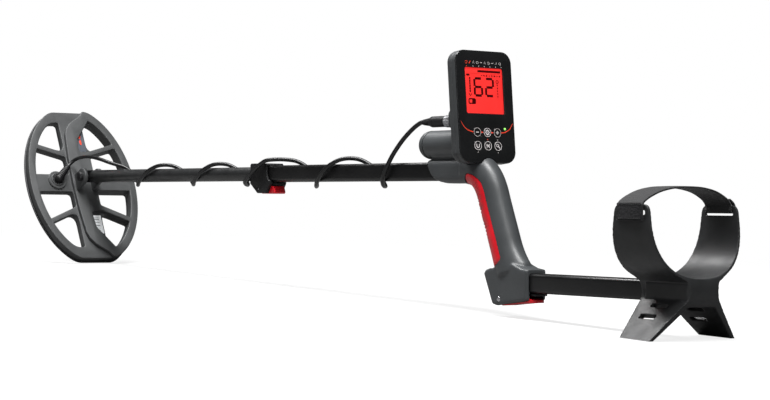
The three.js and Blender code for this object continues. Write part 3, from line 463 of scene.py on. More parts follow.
def refined(node, material, bevel=0.5, segments=2, angle=38, name=None):
    """A CAD node's solid with its sharp edges rounded."""
    source = frame["nodes"][node]
    mesh = source.data.copy()
    mesh.materials.clear()
    work = bmesh.new()
    work.from_mesh(mesh)
    bmesh.ops.remove_doubles(work, verts=work.verts, dist=1e-6)
    bmesh.ops.dissolve_limit(work, angle_limit=math.radians(0.5), verts=work.verts, edges=work.edges)
    work.to_mesh(mesh)
    work.free()
    obj = new_object(name or node + "_shaped", mesh)
    if bevel:
        modifier = obj.modifiers.new("bevel", "BEVEL")
        modifier.width = bevel * 0.001
        modifier.segments = segments
        modifier.limit_method = "ANGLE"
        modifier.angle_limit = math.radians(38)
        applied(obj)
    return piece(obj.name, obj, material, source["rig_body"], [node], angle)


def prism(points, start, end, axis):
    """A mesh, in millimetres, of a polygon drawn in the plane square to an axis."""
    place = {
        "x": lambda a, b, t: (t, a, b),
        "y": lambda a, b, t: (a, t, b),
        "z": lambda a, b, t: (a, b, t),
    }[axis]
    count = len(points)
    verts = [place(a, b, t) for t in (start, end) for a, b in points]
    faces = [(i, (i + 1) % count, count + (i + 1) % count, count + i) for i in range(count)]
    faces += [tuple(reversed(range(count))), tuple(range(count, 2 * count))]
    mesh = bpy.data.meshes.new("prism")
    mesh.from_pydata(verts, [], faces)
    work = bmesh.new()
    work.from_mesh(mesh)
    bmesh.ops.recalc_face_normals(work, faces=work.faces)
    work.to_mesh(mesh)
    work.free()
    return mesh


def rounded_rect(width, height, corner, a=0.0, b=0.0, steps=8):
    points = []
    for quarter, (sx, sy) in enumerate(((1, 1), (-1, 1), (-1, -1), (1, -1))):
        for i in range(steps + 1):
            t = math.pi / 2 * (quarter + i / steps)
            points.append((a + sx * (width / 2 - corner) + corner * math.cos(t),
                           b + sy * (height / 2 - corner) + corner * math.sin(t)))
    return points


def circle(radius, a=0.0, b=0.0, count=32):
    return [(a + radius * math.cos(2 * math.pi * i / count), b + radius * math.sin(2 * math.pi * i / count))
            for i in range(count)]


def grown(points, distance):
    """A closed outline, anticlockwise, moved outwards by a distance."""
    out = []
    count = len(points)
    for i in range(count):
        before, here, after = (Vector(points[(i + k) % count]) for k in (-1, 0, 1))
        sides = [v.normalized() for v in (here - before, after - here) if v.length > 1e-9]
        normal = sum((Vector((v.y, -v.x)) for v in sides), Vector((0, 0))).normalized()
        slope = max(0.5, normal.dot(Vector((sides[0].y, -sides[0].x))))
        out.append(tuple(here + normal * distance / slope))
    return out


def plate(outline, holes, low, high, bevel, rounds=3):
    """A mesh, in millimetres, of a flat plate with holes and rounded edges. Outlines run anticlockwise."""
    curve = bpy.data.curves.new("plate", "CURVE")
    curve.dimensions = "2D"
    curve.fill_mode = "BOTH"
    curve.extrude = (high - low) / 2 - bevel
    curve.bevel_depth = bevel
    curve.bevel_resolution = rounds
    for loop in [grown(outline, -bevel)] + [grown(hole, bevel) for hole in holes]:
        spline = curve.splines.new("POLY")
        spline.points.add(len(loop) - 1)
        for point, (x, y) in zip(spline.points, loop):
            point.co = (x, y, 0, 1)
        spline.use_cyclic_u = True
    obj = new_object("plate", curve)
    bpy.context.view_layer.update()
    graph = bpy.context.evaluated_depsgraph_get()
    mesh = bpy.data.meshes.new_from_object(obj.evaluated_get(graph))
    bpy.data.objects.remove(obj)
    mesh.transform(Matrix.Translation((0, 0, (low + high) / 2)))
    return mesh


def moved(mesh, matrix):
    mesh.transform(matrix)
    return mesh


def lathe(profile, start, direction, steps=40):
    """A mesh, in millimetres, turned about an axis: profile is (distance along it, radius) pairs."""
    axis = Vector(direction).normalized()
    a = axis.orthogonal().normalized()
    b = axis.cross(a)
    verts, faces, rows = [], [], []
    for distance, radius in profile:
        centre = Vector(start) + axis * distance
        if radius < 1e-6:
            rows.append([len(verts)])
            verts.append(centre)
            continue
        rows.append(list(range(len(verts), len(verts) + steps)))
        verts += [centre + (a * math.cos(t) + b * math.sin(t)) * radius
                  for t in (2 * math.pi * k / steps for k in range(steps))]
    for first, second in zip(rows, rows[1:]):
        for k in range(steps):
            ring = [first[k % len(first)], first[(k + 1) % len(first)],
                    second[(k + 1) % len(second)], second[k % len(second)]]
            corners = tuple(dict.fromkeys(ring))
            if len(corners) > 2:
                faces.append(corners)
    mesh = bpy.data.meshes.new("lathe")
    mesh.from_pydata([tuple(v) for v in verts], [], faces)
    return mesh


def melted(name, meshes, voxel, smooth, cutters=(), ratio=0.4):
    """Solids fused by a voxel remesh, smoothed so that their joins become fillets, then cut, in mm."""
    obj = new_object(name, joined(name, *meshes))
    remesh = obj.modifiers.new("remesh", "REMESH")
    remesh.mode = "VOXEL"
    remesh.voxel_size = voxel
    relax = obj.modifiers.new("relax", "SMOOTH")
    relax.factor = 0.5
    relax.iterations = smooth
    thin = obj.modifiers.new("thin", "DECIMATE")
    thin.ratio = ratio
    applied(obj)
    for mesh in cutters:
        tool = new_object("tool", mesh)
        modifier = obj.modifiers.new("cut", "BOOLEAN")
        modifier.operation = "DIFFERENCE"
        modifier.solver = "EXACT"
        modifier.object = tool
        applied(obj)
        bpy.data.objects.remove(tool)
    mesh = obj.data
    bpy.data.objects.remove(obj)
    return mesh


# ---------- Coil cable ----------

CABLE_RADIUS = 2.75
SEAMS = [((149, 0, -13.7), (0.86, -0.51, 0)), ((774, 0, -17.1), (0.72, -0.69, 0))]
BOOT_START = Vector((-5.9, -43.5, -19.9))
BOOT_TIP = Vector((-24.5, -26.4, -14))


def seam(index, side, gap=0.05):
    place, along = (Vector(v) for v in SEAMS[index])
    near, far = place + along * side * gap, place + along * side * 5
    return [far, near] if side < 0 else [near, far]


def turn_round(start, end, square, first=0):
    points = []
    for angle in range(first, 360, 40):
        a = math.radians(angle)
        radius = (17.1 if square else 13.6) + 1.6 * max(0.0, -math.cos(a))
        points.append((start + (end - start) * angle / 360, -radius * math.sin(a), -radius * math.cos(a)))
    return points


def cable_routes():
    turn = Matrix.Rotation(COIL_TILT, 3, "Y")
    tip = turn @ BOOT_TIP
    away = (tip - turn @ BOOT_START).normalized()
    coil_end = [tip + away * 0.1, tip + away * 3.2, (-21.5, -18.3, 24), (-13, -15.8, 27.4), (1, -14.8, 29.3),
                (20, -13.6, 29.8), (38, -12.6, 27.8), (55, -10.2, 24.6), (70, -6.6, 20.6), (83, -0.5, 17),
                (94, 7, 13.4), (104, 12.6, 7), (115, 14, -1.5), (126, 11.4, -7.8), (136.5, 7.6, -11.6),
                *seam(0, -1)]
    wraps = [*seam(0, 1), *turn_round(149, 310, False, 40), *turn_round(310, 455, False), (455, 0, -14.4),
             (464, -9, -13.6), (472, -15.6, -10.4), (483, -18.1, -4.4), (496, -18.5, 2.8), (508, -18.4, 9.6),
             (517, -17.7, 14.2), (525, -15.4, 17.6), (536, -9.4, 18.9), (549, -1, 18.8), (561, 8, 16.8),
             (572, 15, 11), (584, 17.6, 1.6), (597, 15.8, -8), (610, 9, -15), *turn_round(622, 774, True),
             *seam(1, -1)]
    pod_end = [*seam(1, 1), (783.5, -9.8, -14.6), (790.5, -15.6, -9), (797, -17.4, -0.6), (803, -16.8, 9),
               (809, -14.8, 19.5), (815, -12, 29), (821.5, -8.6, 38.5), (829, -4.8, 47.4),
               (837.5, -1.6, 54.8), (846.5, 0, 59.4), (850, 0, 60), (852.9, 0, 60)]
    return coil_end, wraps, pod_end


def build_cable():
    spans = [("cable_coil_end_run", "cable_coil_end"), ("cable_wrapped_run", "cable_wraps"),
             ("cable_pod_end_run", "cable_pod_end")]
    made = []
    for (name, node), route in zip(spans, cable_routes()):
        line = smooth_route(route, 6)
        obj = new_object(name, mesh_of(name, *tube_mesh(line, CABLE_RADIUS)))
        body = ROOT if node == "cable_pod_end" else None
        piece(name, obj, "jacket", body, [node], 60)
        path = [tuple(SHAFT @ p) for p in line]
        length = sum((Vector(q) - Vector(p)).length for p, q in zip(path, path[1:]))
        made.append((obj, path, length))
    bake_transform(made[0][0])
    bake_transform(made[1][0])


# ---------- Search coil ----------

COIL_END, COIL_HALF, COIL_ELLIPSE = 126, 88.5, 134
RAISED_TOP, LOWER_TOP, SHELL_BOTTOM = -21.3, -27.4, -37.9
RING, RING_AT_END, RAISED_AT_END = 12, 19, 13
SPINE, RIB = 20, 8
BAR = (-17, 13)


def blunt_ellipse(a, b, end, steps=40):
    """An ellipse cut flat at x = +-end, its corners rounded, anticlockwise."""
    turn = math.acos((end - 7) / a)
    x, y = a * math.cos(turn), b * math.sin(turn)
    corner = y - (end - x) * (b * b * x) / (a * a * y)
    shares = (0, .17, .33, .5, .67, .83, 1)
    arc = [(a * math.cos(t), b * math.sin(t))
           for t in (turn + (math.pi - 2 * turn) * i / steps for i in range(1, steps))]
    top = quadratic((end, corner - 8), (end, corner), (x, y), shares) + arc
    top += quadratic((-x, y), (-end, corner), (-end, corner - 8), shares)
    return top + [(-px, -py) for px, py in top]


def clipped(points, a, b):
    """The part of a convex outline that lies to the left of the line from a to b."""
    (ax, ay), (bx, by) = a, b

    def height(p):
        return (bx - ax) * (p[1] - ay) - (by - ay) * (p[0] - ax)

    out = []
    for p, q in zip(points, points[1:] + points[:1]):
        hp, hq = height(p), height(q)
        if hp >= 0:
            out.append(p)
        if hp * hq < 0:
            t = hp / (hp - hq)
            out.append((p[0] + (q[0] - p[0]) * t, p[1] + (q[1] - p[1]) * t))
    return out


def softened(points, radius, steps=5):
    """An outline with its sharp corners rounded."""
    clean = [p for p, q in zip(points, points[1:] + points[:1]) if math.dist(p, q) > 0.05]
    out = []
    for i, here in enumerate(clean):
        before, after = Vector(clean[i - 1]), Vector(clean[(i + 1) % len(clean)])
        p = Vector(here)
        u, v = (before - p), (after - p)
        turn = math.pi - u.angle(v)
        if turn < math.radians(14):
            out.append(here)
            continue
        reach = min(radius * math.tan(turn / 2), 0.48 * u.length, 0.48 * v.length)
        a, b = p + u.normalized() * reach, p + v.normalized() * reach
        for k in range(steps + 1):
            t = k / steps
            out.append(a * (1 - t) ** 2 + p * 2 * t * (1 - t) + b * t * t)
    return [tuple(p) for p in out]


def rib_edges(side):
    """The two ribs of one side as (foot, head) points on their middle lines."""
    return [((-51, 20 * side), (-69, 78 * side)), ((42.5, 20 * side), (68, 78 * side))]


def shifted(a, b, distance):
    d = Vector((b[0] - a[0], b[1] - a[1])).normalized()
    n = Vector((-d.y, d.x)) * distance
    return (a[0] + n.x, a[1] + n.y), (b[0] + n.x, b[1] + n.y)


def mirrored(points):
    return [(x, -y) for x, y in reversed(points)]


def coil_windows(slim=0.0, end=RING_AT_END, radius=7.0, deep=False):
    """The four windows of the +Y side. deep ones reach over the low half of the spine at the two ends."""
    opening = blunt_ellipse(COIL_END - 7 + slim, COIL_HALF - RING + slim, COIL_END - end + slim)
    toe_rib, heel_rib = rib_edges(1)
    half = RIB / 2 - slim / 2
    spine = SPINE - slim
    above = clipped(opening, (-200, spine), (200, spine))
    low = above
    if deep:
        low = opening
        for (ax, ay), (bx, by) in zip(RAISED_EDGE[::-1], RAISED_EDGE[::-1][1:]):
            low = clipped(low, (ax, ay + 20), (bx, by + 20))
    toe = clipped(low, *shifted(*toe_rib, half))
    toe = clipped(toe, (-54, 0), (-54, 10)) if deep else toe
    heel = clipped(low, *shifted(*reversed(heel_rib), half))
    heel = clipped(heel, (47, 10), (47, 0)) if deep else heel
    upper = clipped(above, *shifted(*reversed(toe_rib), half))
    upper = clipped(upper, (BAR[0] + slim, 0), (BAR[0] + slim, 10))
    lower = clipped(above, *shifted(*heel_rib, half))
    lower = clipped(lower, (BAR[1] - slim, 10), (BAR[1] - slim, 0))
    return [softened(w, r) for w, r in ((toe, radius * 1.6), (upper, radius * 0.6), (lower, radius * 0.6),
                                        (heel, radius * 1.6))]


RAISED_EDGE = [(140, 34), (118, 17), (104, -3.5), (94, -11.5), (84, -15), (44, -18.5), (0, -19.5),
               (-44, -18.5), (-84, -15), (-94, -11.5), (-104, -3.5), (-118, 17), (-140, 34)]


def edge_height(x):
    """Where the edge of the raised half runs, as y for an x."""
    for (x1, y1), (x0, y0) in zip(RAISED_EDGE, RAISED_EDGE[1:]):
        if x >= x0:
            return y0 + (y1 - y0) * (x - x0) / (x1 - x0)
    return RAISED_EDGE[-1][1]


def raised_outline():
    outline = blunt_ellipse(COIL_ELLIPSE, COIL_HALF, COIL_END)
    above = [p for p in outline if p[1] > edge_height(p[0]) + 1]
    left = [(-COIL_END, edge_height(-COIL_END))] + [p for p in reversed(RAISED_EDGE) if abs(p[0]) < COIL_END]
    return softened(above + left + [(COIL_END, edge_height(COIL_END))], 5)


def ear_mesh(inner, outer):
    outline = [(-13.5, RAISED_TOP - 1), (13.5, RAISED_TOP - 1), (12.3, -3)]
    outline += [(12.3 * math.cos(t), 12.3 * math.sin(t)) for t in (math.pi * i / 18 for i in range(19))]
    outline += [(-12.3, -3)]
    mesh = plate(outline, [circle(3.4, count=20)], inner, outer, 0.9, 2)
    return moved(mesh, Matrix.Rotation(math.radians(90), 4, "X") @ Matrix.Translation((0, 0, -inner - outer)))


def build_coil():
    outline = blunt_ellipse(COIL_ELLIPSE, COIL_HALF, COIL_END)
    windows = coil_windows()
    both = windows + [mirrored(w) for w in windows]
    base = plate(outline, both, SHELL_BOTTOM, LOWER_TOP, 1.3)
    raised = plate(raised_outline(), coil_windows(0.0, RAISED_AT_END, 6.0, True), LOWER_TOP - 2,
                   RAISED_TOP, 1.3)
    boss = lathe([(0, 0), (0, 15), (3.2, 15), (4.2, 14), (4.2, 11.2), (5.4, 10.6), (5.8, 10), (5.8, 0)],
                 (-5.9, -43.5, LOWER_TOP - 1.2), (0, 0, 1), 48)
    shell = joined("coil_shell", base, raised, boss, ear_mesh(10.2, 15.6), ear_mesh(-15.6, -10.2))
    piece("coil_shell", moved(shell, COIL), "coil", "coil", ["coil_top_shell"], 32)
    cover = plate(grown(outline, -0.6), [grown(w, 1) for w in both], -40.4, -38.2, 0.3, 1)
    piece("coil_cover", moved(cover, COIL), "cover", "coil", ["coil_bottom_cover"], 32)
    skid = plate(grown(outline, 1), [grown(w, 2) for w in both], -43.4, -40.7, 1.0, 2)
    piece("skid_shoe", moved(skid, COIL), "cover", "coil", ["skid_plate"], 32)
    build_badges()
    build_coil_fittings()


def build_badges():
    """A badge and a paper label sunk in the low half of the spine, with plain marks and no lettering."""
    level = LOWER_TOP
    badge = plate(rounded_rect(46, 14.5, 2, -80, 11.4), [], level - 0.2, level + 0.35, 0.2, 1)
    piece("coil_badge", moved(badge, COIL), "label_grey", "coil", angle=30)
    marks = [plate(rounded_rect(length, 3.0, 0.8, x, 11.4), [], level + 0.3, level + 0.42, 0.05, 1)
             for x, length in ((-94, 7), (-84, 9), (-73, 8))]
    piece("coil_badge_marks", moved(joined("m", *marks), COIL), "ink_red", "coil", angle=30)
    label = plate(rounded_rect(31, 14, 0.8, 69, 11), [], level - 0.2, level + 0.3, 0.1, 1)
    piece("coil_label", moved(label, COIL), "label", "coil", angle=30)
    bars = [plate(rounded_rect(width, 8.5, 0.1, 58 + 2.6 * i, 9.5), [], level + 0.25, level + 0.36, 0.02, 1)
            for i, width in enumerate((0.6, 1.1, 0.5, 0.9, 0.5, 1.3, 0.7, 0.5, 1.0, 0.6))]
    piece("coil_label_bars", moved(joined("b", *bars), COIL), "label_grey", "coil", angle=30)


def ribbed_profile(length, start, end, ribs):
    """A strain relief: rings that shrink towards its tip."""
    points = [(0, 0), (0, start)]
    for i in range(ribs):
        for share, proud in ((0.08, 0.0), (0.22, 0.75), (0.62, 0.75), (0.76, 0.0)):
            t = (i + share) / ribs
            points.append((length * t, start + (end - start) * t - 0.9 + 1.3 * proud))
    return points + [(length * 0.99, end), (length, end - 0.4), (length, 0)]


def build_coil_fittings():
    away = (BOOT_TIP - BOOT_START).normalized()
    length = (BOOT_TIP - BOOT_START).length
    hood = joined("hood", lathe([(0, 0), (0, 9.6), (0.4, 10.2), (1.1, 10.2), (1.6, 9.6), (1.6, 0)],
                                (-5.9, -43.5, LOWER_TOP + 3), (0, 0, 1), 40),
                  lathe([(0, 0), (0, 6.6), (3.4, 6.4), (6.2, 5.6), (8.6, 4.2), (10, 2.2), (10.4, 0)],
                        (-5.9, -43.5, LOWER_TOP + 3.4), (0, 0, 1), 36),
                  lathe([(-4, 0), (-3.4, 4.2), (0, 5.7), (3.4, 5.7), (3.4, 0)], BOOT_START, away, 36))
    piece("cable_hood", moved(hood, COIL), "black", "coil", ["coil_cable_gland"])
    boot = lathe(ribbed_profile(length - 2.5, 6.0, 4.2, 8), BOOT_START + away * 2.5, away, 32)
    piece("cable_boot_ribbed", moved(boot, COIL), "rubber", "coil", ["coil_cable_boot"])
    head = [(x * 1.0, r) for x, r in ((0, 0), (0, 5.2), (0.5, 6.3), (1.4, 6.8), (5.8, 6.8))]
    knob = lathe(head + [(5.8, 3), (41, 3), (41, 0)], (0, -21.4, 0), (0, 1, 0), 36)
    lobes = [moved(plate(circle(1.6, 5.6 * math.cos(t), 5.6 * math.sin(t), 14), [], 16, 21, 0.4, 1),
                   Matrix.Rotation(math.radians(90), 4, "X"))
             for t in (2 * math.pi * i / 8 for i in range(8))]
    slot_bar = moved(plate(rounded_rect(8, 1.6, 0.4), [], 21.0, 21.35, 0.1, 1),
                     Matrix.Rotation(math.radians(90), 4, "X"))
    piece("pivot_bolt", moved(joined("bolt", knob, *lobes, slot_bar), COIL), "black", "coil", ["coil_bolt"])
    refined("coil_bolt_nut", "black", 0.6)
    for side in ("left", "right"):
        refined(f"hinge_washer_{side}", "rubber", 0.3)
    frame["nodes"]["transmit_winding"].data.materials[0] = M["copper"]
    frame["nodes"]["receive_winding"].data.materials[0] = M["copper"]


# ---------- Shafts ----------

def tube_piece(name, node, outline, hole, start, end, material, slot):
    ring = plate(outline, [hole], start, end, 0.25, 1)
    mesh = moved(ring, Matrix(((0, 0, 1, 0), (1, 0, 0, 0), (0, 1, 0, 0), (0, 0, 0, 1))))
    body = frame["nodes"][node]["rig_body"]
    return piece(name, moved(mesh, SHAFT), material, body, [node], 24)


def build_shafts():
    square = rounded_rect(22.2, 22.2, 4.5, steps=10)
    inner = rounded_rect(20.2, 20.2, 3.5, steps=10)
    low = [(y, z - 127.5) for y, z in square], [(y, z - 127.5) for y, z in inner]
    tube_piece("lower_tube_round", "lower_tube", circle(9.6, count=56), circle(8.6, count=56), 14.3, 612,
               "sleeve", "shaft_composite")
    tube_piece("mid_tube_square", "mid_tube", square, inner, 512.3, 950, "tube", "shaft_aluminium")
    tube_piece("rear_tube_square", "rear_tube", *low, 1003, 1326, "tube", "shaft_aluminium")
    refined("tube_end_fitting", "black", 0.7, 3)
    refined("rear_tube_front_plug", "black", 0.5)
    refined("rear_tube_end_cap", "black", 0.9, 3)


def build_clamps():
    refined("front_clamp_collar", "black", 0.7, 3)
    refined("front_clamp_pad", "rubber", 0.3)
    refined("front_lever", "red", 0.8, 3)
    refined("front_lever_pin", "steel", 0.35, 2)
    refined("rear_clamp_pad", "black", 0.5)
    refined("rear_lever", "red", 0.8, 3)
    refined("rear_lever_pin", "steel", 0.45, 3)


# ---------- Handle ----------

GRIP_PATH = [(944, 4.6), (957, 3.2), (968, -1.2), (978.5, -10), (986.5, -22), (993.5, -39), (1001.5, -58),
             (1010, -78), (1018.5, -99), (1025.5, -118)]
GRIP_SIDE, GRIP_DEEP = 17, 20
SCREWS = [(905, 13.7), (1006, -68)]


def grip_line(per_span=8):
    return smooth_route([(x, 0, z) for x, z in GRIP_PATH], per_span)


def grip_mesh(margin, flare=0.0):
    """The grip's oval tube grown by a margin, its back flared out towards the foot."""
    verts, sides = [], 48
    line = grip_line()
    for p, (tangent, _, _) in zip(line, frames_along(line)):
        across = Vector((0, 1, 0))
        back = across.cross(tangent).normalized()
        low = max(0.0, min(1.0, (-84 - p.z) / 30))
        rear = 1 if back.x > 0 else -1
        verts += [p + back * ((GRIP_DEEP + margin) * math.cos(t)
                              + rear * flare * low * low * max(0.0, rear * math.cos(t)))
                  + across * (GRIP_SIDE + margin) * math.sin(t)
                  for t in (2 * math.pi * k / sides for k in range(sides))]
    return closed(mesh_of("grip", verts, ring_faces(len(line), sides), Matrix.Identity(4)))


def closed(mesh):
    work = bmesh.new()
    work.from_mesh(mesh)
    bmesh.ops.recalc_face_normals(work, faces=work.faces)
    work.to_mesh(mesh)
    work.free()
    return mesh


def sleeve_mesh():
    side = [(877.5, 12), (881, 4), (886, -3), (893, -8.5), (902, -12.4), (912, -14.3), (962, -14.3),
            (962, 14.5), (877.5, 14.5)]
    sleeve = new_object("sleeve", prism(rounded_rect(29, 29, 8, steps=6), 876, 964, "x"))
    boolean(sleeve, "INTERSECT", prism(side, -30, 30, "y"))
    mesh = sleeve.data
    bpy.data.objects.remove(sleeve)
    return mesh


def boolean(obj, kind, mesh):
    tool = new_object("tool", mesh)
    modifier = obj.modifiers.new("cut", "BOOLEAN")
    modifier.operation = kind
    modifier.solver = "EXACT"
    modifier.object = tool
    applied(obj)
    bpy.data.objects.remove(tool)


def pod_seat():
    """The room for the pod's lower end, in shaft millimetres."""
    place = SHAFT.inverted() @ POD
    block = prism([(-21, -66.6), (0.7, -66.6), (0.7, -40), (-21, -40)], -43, 43, "y")
    return moved(closed(joined("seat", block)), place)


def build_handle():
    barrel = lathe([(0, 0), (0, 16.5), (0.5, 17.2), (1.1, 17.3), (75, 17.3), (78, 16.6), (80.3, 14),
                    (80.6, 0)], (872.3, 0, 32), (1, 0, 0), 56)
    web = prism([(884, 6), (884, 24), (953, 26), (955, 9)], -10.5, 10.5, "y")
    housing = plate([(989, -118.5), (992, -114), (1003, -111), (1012, -110), (1040, -105), (1056, -110.5),
                     (1068, -112), (1068, -146.5), (1061, -148.4), (1012, -154.6), (1005, -153)][::-1], [],
                    -14.9, 14.9, 3.4, 4)
    housing = moved(housing, Matrix.Rotation(math.radians(90), 4, "X"))
    channel = prism([(y, z - 127.5) for y, z in rounded_rect(22.8, 22.8, 4.5)], 980, 1100, "x")
    sleeve_channel = prism(rounded_rect(22.8, 22.8, 4.5), 868, 950.6, "x")
    pocket = prism([(1008, -160), (1080, -160), (1080, -136.6), (1008, -136.6)], -10.3, 10.3, "y")
    groove = closed(mesh_of("groove", *grip_band(-1.4, 6, INSERT_SPREAD + 1.5, 0.3), Matrix.Identity(4)))
    body = melted("handle", [barrel, sleeve_mesh(), web, grip_mesh(0, 9), housing], 0.95, 10,
                  [channel, sleeve_channel, pocket, groove, pod_seat()])
    piece("handle_body", moved(body, SHAFT), "handle", ROOT, ["handle_left_shell", "handle_right_shell"],
          50)
    insert = mesh_of("insert", *grip_band(-1.2, 0.7, INSERT_SPREAD, 0.0, 0.5))
    piece("grip_red", insert, "red", ROOT, ["grip_insert"], 40)
    cap = lathe([(0, 0), (0.1, 4), (0.5, 6.8), (1.3, 9.4), (2.5, 11.7), (4, 13.5), (6, 15.1), (8.4, 16.3),
                 (11, 17), (13.4, 17.3), (14, 17.3), (14.4, 17.1), (14.5, 16.4), (14.5, 0)],
                (857.5, 0, 32), (1, 0, 0), 64)
    piece("battery_cap_round", moved(cap, SHAFT), "handle", "battery_cap", ["battery_cap"])
    for i, (x, z) in enumerate(SCREWS, 1):
        head = lathe([(0, 0), (0, 1.1), (0.5, 1.15), (0.55, 2.1), (0.9, 2.5), (2.2, 2.6), (2.2, 0)],
                     (x, 14.4, z), (0, -1, 0), 24)
        piece(f"handle_screw_head_{i}", moved(head, SHAFT), "steel", ROOT, [f"handle_screw_{i}"])


INSERT_SPREAD = 100


def grip_band(inner, outer, spread, longer, ribs=0.0):
    """The band round the grip's front and sides, with rounded ends and margins from its surface."""
    line = grip_line(10)
    axes = frames_along(line)
    lengths = [0.0]
    for p, q in zip(line, line[1:]):
        lengths.append(lengths[-1] + (q - p).length)
    start, end = 8 - longer, lengths[-1] - 10.5 + longer
    verts, faces, count = [], [], 30
    rows = [i for i, walked in enumerate(lengths) if start <= walked <= end]
    run = lengths[rows[-1]] - lengths[rows[0]]
    for i in rows:
        walked = lengths[i] - lengths[rows[0]]
        across = Vector((0, 1, 0))
        back = across.cross(axes[i][0]).normalized()
        if back.x < 0:
            back = -back
        nose = min(1.0, min(walked / 9.0, (run - walked) / 6.0) + 0.02)
        opened = min(1.0, 0.66 + 0.34 * walked / 38)
        reach = math.radians(spread) * opened * (0.18 + 0.82 * math.sqrt(max(0.0, 1 - (1 - nose) ** 2)))
        for margin, order in ((outer, 1), (inner, -1)):
            for k in range(count + 1):
                t = order * reach * (2 * k / count - 1)
                lift = margin
                if order > 0 and ribs:
                    notch = max(0.0, math.cos(2 * math.pi * walked / 4.6)) ** 3
                    wave = -3.0 * notch if 28 < walked < 104 else 0.0
                    lift += ribs * wave * max(0.0, math.cos(t)) ** 0.5 - 0.9 * (abs(t) / reach) ** 8
                verts.append(line[i] - back * (GRIP_DEEP + lift) * math.cos(t)
                             + across * (GRIP_SIDE + lift) * math.sin(t))
    width = 2 * (count + 1)
    for row in range(len(rows) - 1):
        faces += [(row * width + k, row * width + (k + 1) % width, (row + 1) * width + (k + 1) % width,
                   (row + 1) * width + k) for k in range(width)]
    faces += [tuple(range(width)), tuple(reversed(range((len(rows) - 1) * width, len(rows) * width)))]
    return verts, faces


def build_battery_inside():
    for node, material in (("battery_carrier", "black"), ("battery_cell_left_1", "cell"),
                           ("battery_cell_left_2", "cell"), ("battery_cell_right_1", "cell"),
                           ("battery_cell_right_2", "cell"), ("circuit_board", "board"), ("speaker", "black"),
                           ("keypad_membrane", "rubber"), ("lcd_module", "black")):
        frame["nodes"][node].data.materials[0] = M[material]


# ---------- Control pod ----------

FACE_TURN = Matrix(((0, 0, 1, 0), (1, 0, 0, 0), (0, 1, 0, 0), (0, 0, 0, 1)))
SCREEN = {"z": 18.8, "width": 56, "height": 54}
KEYS = {"minus": (-14.9, -30.3), "mode": (0, -30.3), "plus": (14.9, -30.3), "all_metal": (-14.9, -46),
        "reject": (0, -46), "pinpoint": (14.9, -46)}
PRINT = (0.0, 0.09)


def pod_outline(inset):
    return rounded_rect(83.2 - 2 * inset, 132 - 2 * inset, 14 - inset, steps=14)


def loft(sections, cap_first=True, cap_last=True):
    """A mesh, in pod axes, through (x, outline) sections with the same number of points."""
    count = len(sections[0][1])
    verts = [(x, y, z) for x, outline in sections for y, z in outline]
    mesh = bpy.data.meshes.new("loft")
    mesh.from_pydata(verts, [], ring_faces(len(sections), count, cap_first, cap_last))
    return mesh


def on_face(mesh):
    """Takes a plate drawn in the plane of the pod's face to its place."""
    return moved(moved(mesh, FACE_TURN), POD)


def stroke(points, width, closed=False):
    """A thin printed line, in the plane of the face."""
    pts = [Vector(p) for p in points]
    count = len(pts)
    left, right = [], []
    for i, p in enumerate(pts):
        before = pts[i - 1] if i or closed else p
        after = pts[(i + 1) % count] if i < count - 1 or closed else p
        d = (after - before).normalized()
        n = Vector((-d.y, d.x)) * (width(i / (count - 1)) if callable(width) else width) / 2
        left.append(p + n)
        right.append(p - n)
    verts = [(v.x, v.y, level) for level in PRINT for v in left + right]
    spans = range(count if closed else count - 1)
    faces = []
    for i in spans:
        j = (i + 1) % count
        a, b, c, d = i, j, count + j, count + i
        e, f, g, h = (k + 2 * count for k in (a, b, c, d))
        faces += [(d, c, b, a), (e, f, g, h), (a, b, f, e), (c, d, h, g)]
    if not closed:
        faces += [(0, 2 * count, 3 * count, count), (count - 1, 2 * count - 1, 4 * count - 1, 3 * count - 1)]
    mesh = bpy.data.meshes.new("stroke")
    mesh.from_pydata(verts, [], faces)
    return mesh


def blot(points):
    """A filled printed mark, in the plane of the face."""
    return moved(prism(points, *PRINT, "z"), Matrix.Identity(4))


